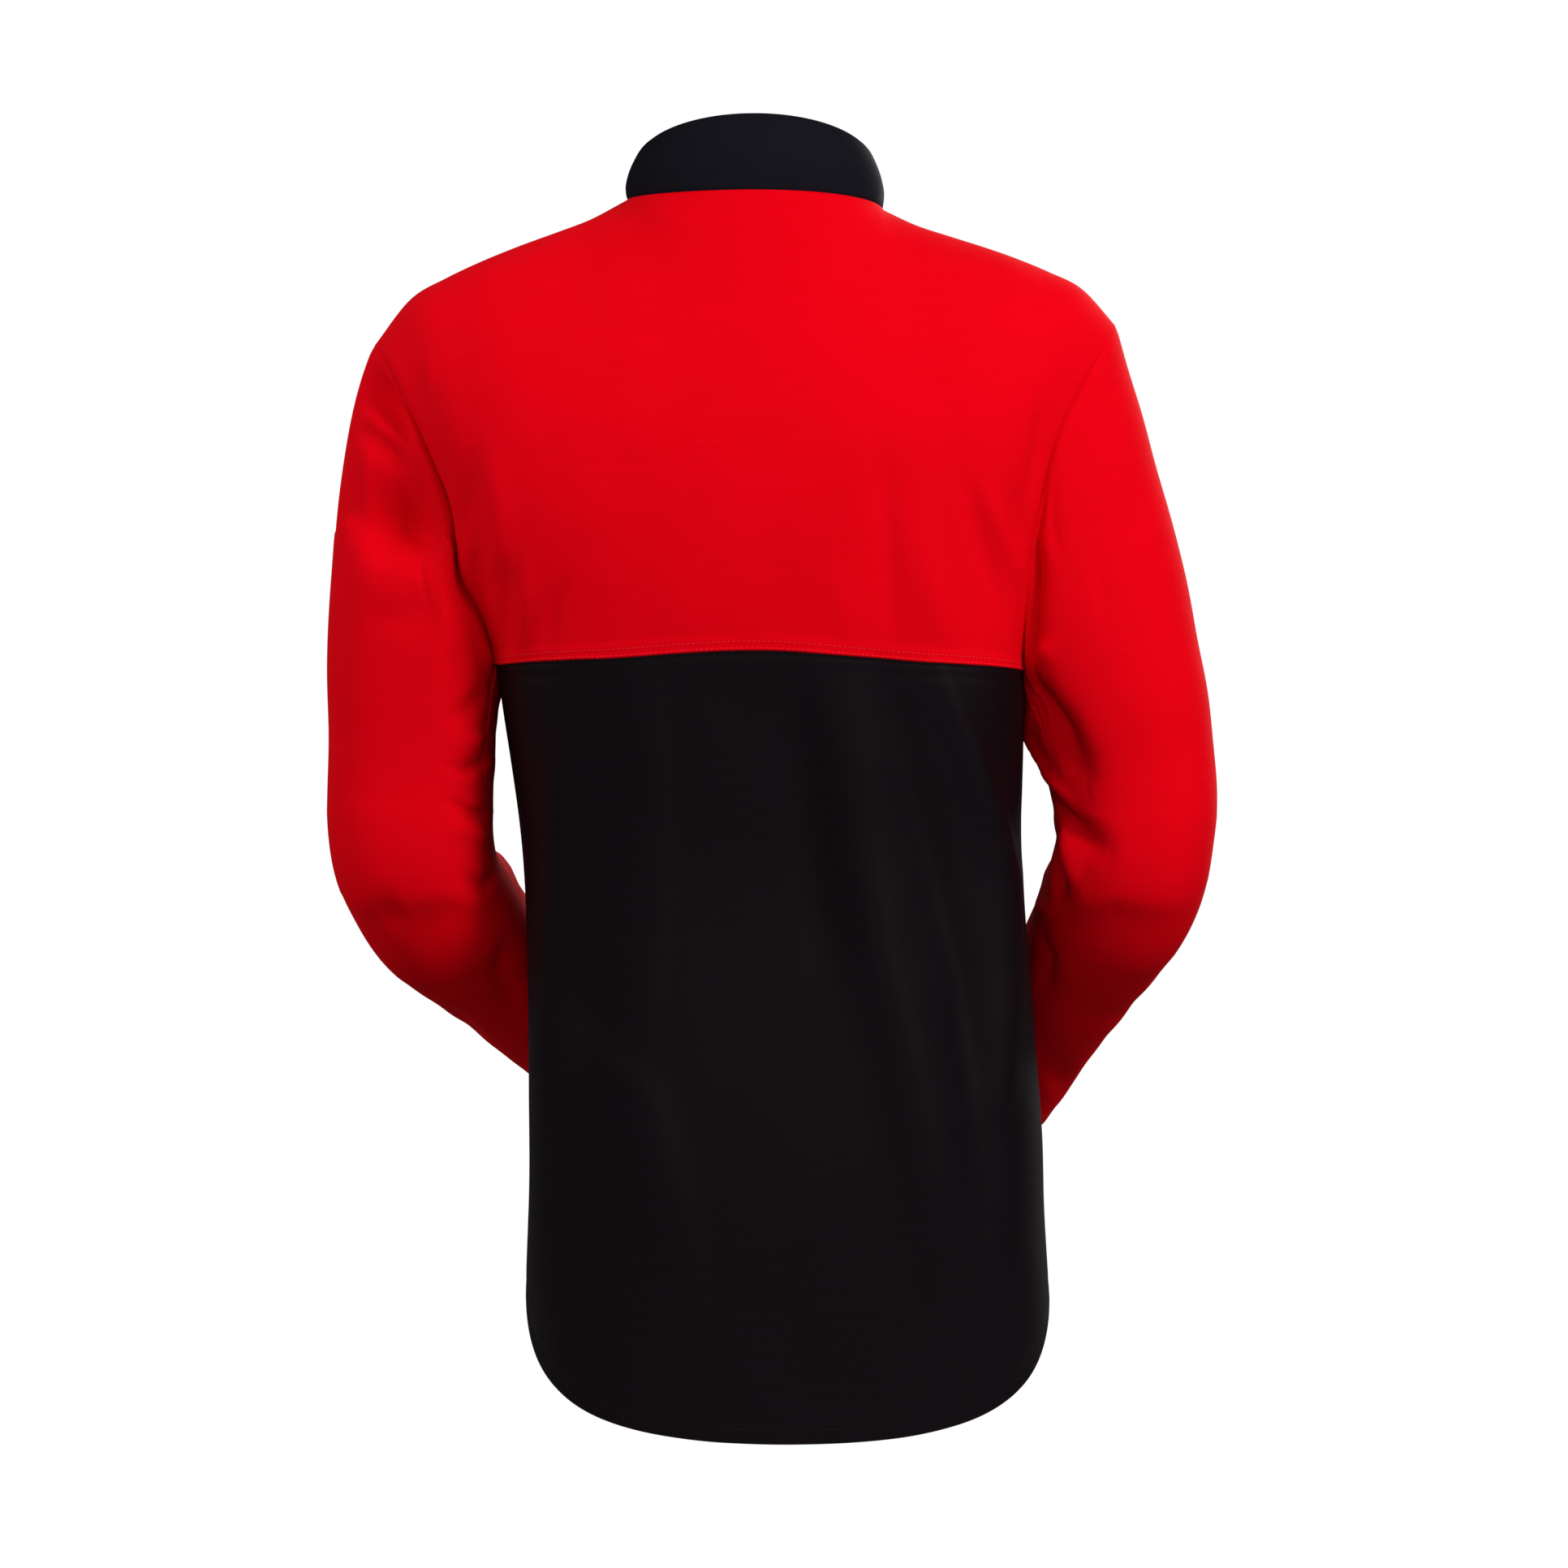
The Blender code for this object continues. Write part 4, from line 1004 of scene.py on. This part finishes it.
def thread(name, colour):
    """Twisted polyester thread, a little glossier than the cloth, with painted shade in random patches for
    its ply grooves.
    """
    material = bpy.data.materials.new(name)
    material.use_nodes = True
    tree = material.node_tree
    shader = tree.nodes["Principled BSDF"]
    place = add(tree, "ShaderNodeTexCoord")
    # painted shade: noise darkens the thread colour in small patches, as the grooves between its plies
    # would be shaded
    ply_shade = add(tree, NOISE, {"Vector": place.outputs["Object"], "Scale": 2500, "Detail": 1})
    shaded_colour = tuple(0.75 * v for v in linear(colour)[:3]) + (1,)
    mix = add(tree, MIX, {0: ply_shade.outputs[0], 6: shaded_colour, 7: linear(colour)}, data_type="RGBA")
    tree.links.new(mix.outputs[2], shader.inputs["Base Color"])
    shader.inputs["Roughness"].default_value = 0.55
    shader.inputs["Specular IOR Level"].default_value = 0.1
    return material


body_out = {face: OUTWARD[face] * grid_normals(body[face]) for face in body}
sleeve_out = {side: toward * grid_normals(sleeves[side], True) for side, toward in SIDES}
SEWN = {
    # piece: slot, thread colour, lines
    "yoke_stitches": (
        "red_knit",
        "#F8303E",
        [line_at(body[f][YOKE:], body_out[f][YOKE:], d) for f in body for d in YOKE_STITCHES],
    ),
    "hem_stitches": (
        "black_knit",
        "#1B191D",
        [line_at(body[f], body_out[f], HEM_TURN["body"] - d) for f in body for d in (0, HEM_ROWS)],
    ),
    "cuff_stitches": (
        "red_knit",
        "#E0202A",
        [
            line_at(sleeves[s][::-1], sleeve_out[s][::-1], HEM_TURN["cuff"] - d)
            for s, _ in SIDES
            for d in (0, HEM_ROWS)
        ],
    ),
}
stitches = stitch_tree()
for name, (slot, colour, lines) in SEWN.items():
    points, edges, out = [], [], []
    for line, normals in lines:
        first = len(points)
        points += ((line + STITCH_LIFT * normals) * MM).tolist()
        out += normals.tolist()
        edges += [(first + k, first + k + 1) for k in range(len(line) - 1)]
        if name == "cuff_stitches":
            edges.append((first + len(line) - 1, first))
    mesh = bpy.data.meshes.new(f"{name}_lines")
    mesh.from_pydata(points, edges, [])
    mesh.attributes.new("out", "FLOAT_VECTOR", "POINT").data.foreach_set("vector", np.ravel(out))
    path = placed(f"{name}_lines", mesh)
    sewn = path.modifiers.new("stitches", "NODES")
    sewn.node_group = stitches
    inputs = [item for item in stitches.interface.items_tree if item.in_out == "INPUT"]
    sockets = {item.name: item.identifier for item in inputs}
    sewn[sockets["Thread"]] = thread(f"{name} thread", colour)
    sewn[sockets["Seed"]] = len(name)
    graph = bpy.context.evaluated_depsgraph_get()
    made = bpy.data.meshes.new_from_object(path.evaluated_get(graph))
    bpy.data.objects.remove(path)
    made.shade_smooth()
    piece = placed(name, made)
    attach(piece, "root")


# ---- Camera, light and floor ----
# The view is from behind, level with the middle of the shirt and 3 m away, through a long lens. The main
# lights stand behind the shirt, above its right shoulder and beside the camera, over a plain pale floor.

CAMERA = {"place": (-0.014, 3.0, -0.357), "lens": 111.80, "sensor": 36}  # the last two in millimetres
camera_data = bpy.data.cameras.new("camera")
camera_data.lens = CAMERA["lens"]
camera_data.sensor_width = CAMERA["sensor"]
camera = placed("camera", camera_data)
camera.location = CAMERA["place"]
camera.rotation_euler = (math.radians(90), 0, math.radians(180))
bpy.context.scene.camera = camera

LIT_POINT = Vector((0, 0, -0.35))
LIGHTS = (
    # name, place, size, watts
    ("key", (-1.7, 1.85, 1.0), 0.9, 50),
    ("fill", (0.3, 2.9, 0.3), 1.2, 16),
    ("left softbox", (1.8, 0.3, 0.35), 1.0, 9),
    ("front softbox", (-1.5, -2.5, 0.8), 1.8, 60),
)
for name, place, size, watts in LIGHTS:
    light = bpy.data.lights.new(name, "AREA")
    light.shape = "DISK"
    light.size = size
    light.energy = watts
    lamp = placed(name, light)
    lamp.location = place
    aim = LIT_POINT - Vector(place)
    lamp.rotation_euler = aim.to_track_quat("-Z", "Y").to_euler()

# The studio: white behind the shirt, brighter from above, and dim where the cloth would mirror it
world = bpy.data.worlds.new("studio")
bpy.context.scene.world = world
world.use_nodes = True
tree = world.node_tree
ray = add(tree, "ShaderNodeLightPath")
heading = add(tree, "ShaderNodeTexCoord")
heading = add(tree, "ShaderNodeSeparateXYZ", {0: heading.outputs["Generated"]})
heights = {0: heading.outputs[2], 1: -0.3, 2: 0.6, 3: 0.15, 4: 0.45}
from_above = add(tree, "ShaderNodeMapRange", heights)
mirrored = add(tree, MIX, {0: ray.outputs["Is Glossy Ray"], 2: from_above.outputs[0], 3: 0.08})
strength = add(tree, MIX, {0: ray.outputs["Is Camera Ray"], 2: mirrored.outputs[0], 3: 1.0})
tree.links.new(strength.outputs[0], tree.nodes["Background"].inputs["Strength"])
tree.nodes["Background"].inputs["Color"].default_value = (1, 1, 1, 1)
bpy.context.scene.view_settings.view_transform = "Standard"

FLOOR = {"radius": 1.3, "height": -1.05, "corners": 96}
floor_mesh = bpy.data.meshes.new("floor")
turns = np.arange(FLOOR["corners"]) * 2 * math.pi / FLOOR["corners"]
rim = [(FLOOR["radius"] * math.cos(a), FLOOR["radius"] * math.sin(a), FLOOR["height"]) for a in turns]
floor_mesh.from_pydata(rim, [], [list(range(len(rim)))])
floor = placed("floor", floor_mesh)
floor_paint = bpy.data.materials.new("matt white studio floor")
floor_paint.use_nodes = True
floor_shader = floor_paint.node_tree.nodes["Principled BSDF"]
floor_shader.inputs["Base Color"].default_value = linear("#E9E9E9")
floor_shader.inputs["Roughness"].default_value = 0.9
floor_mesh.materials.append(floor_paint)
floor.visible_diffuse = False  # it throws no light up into the folds
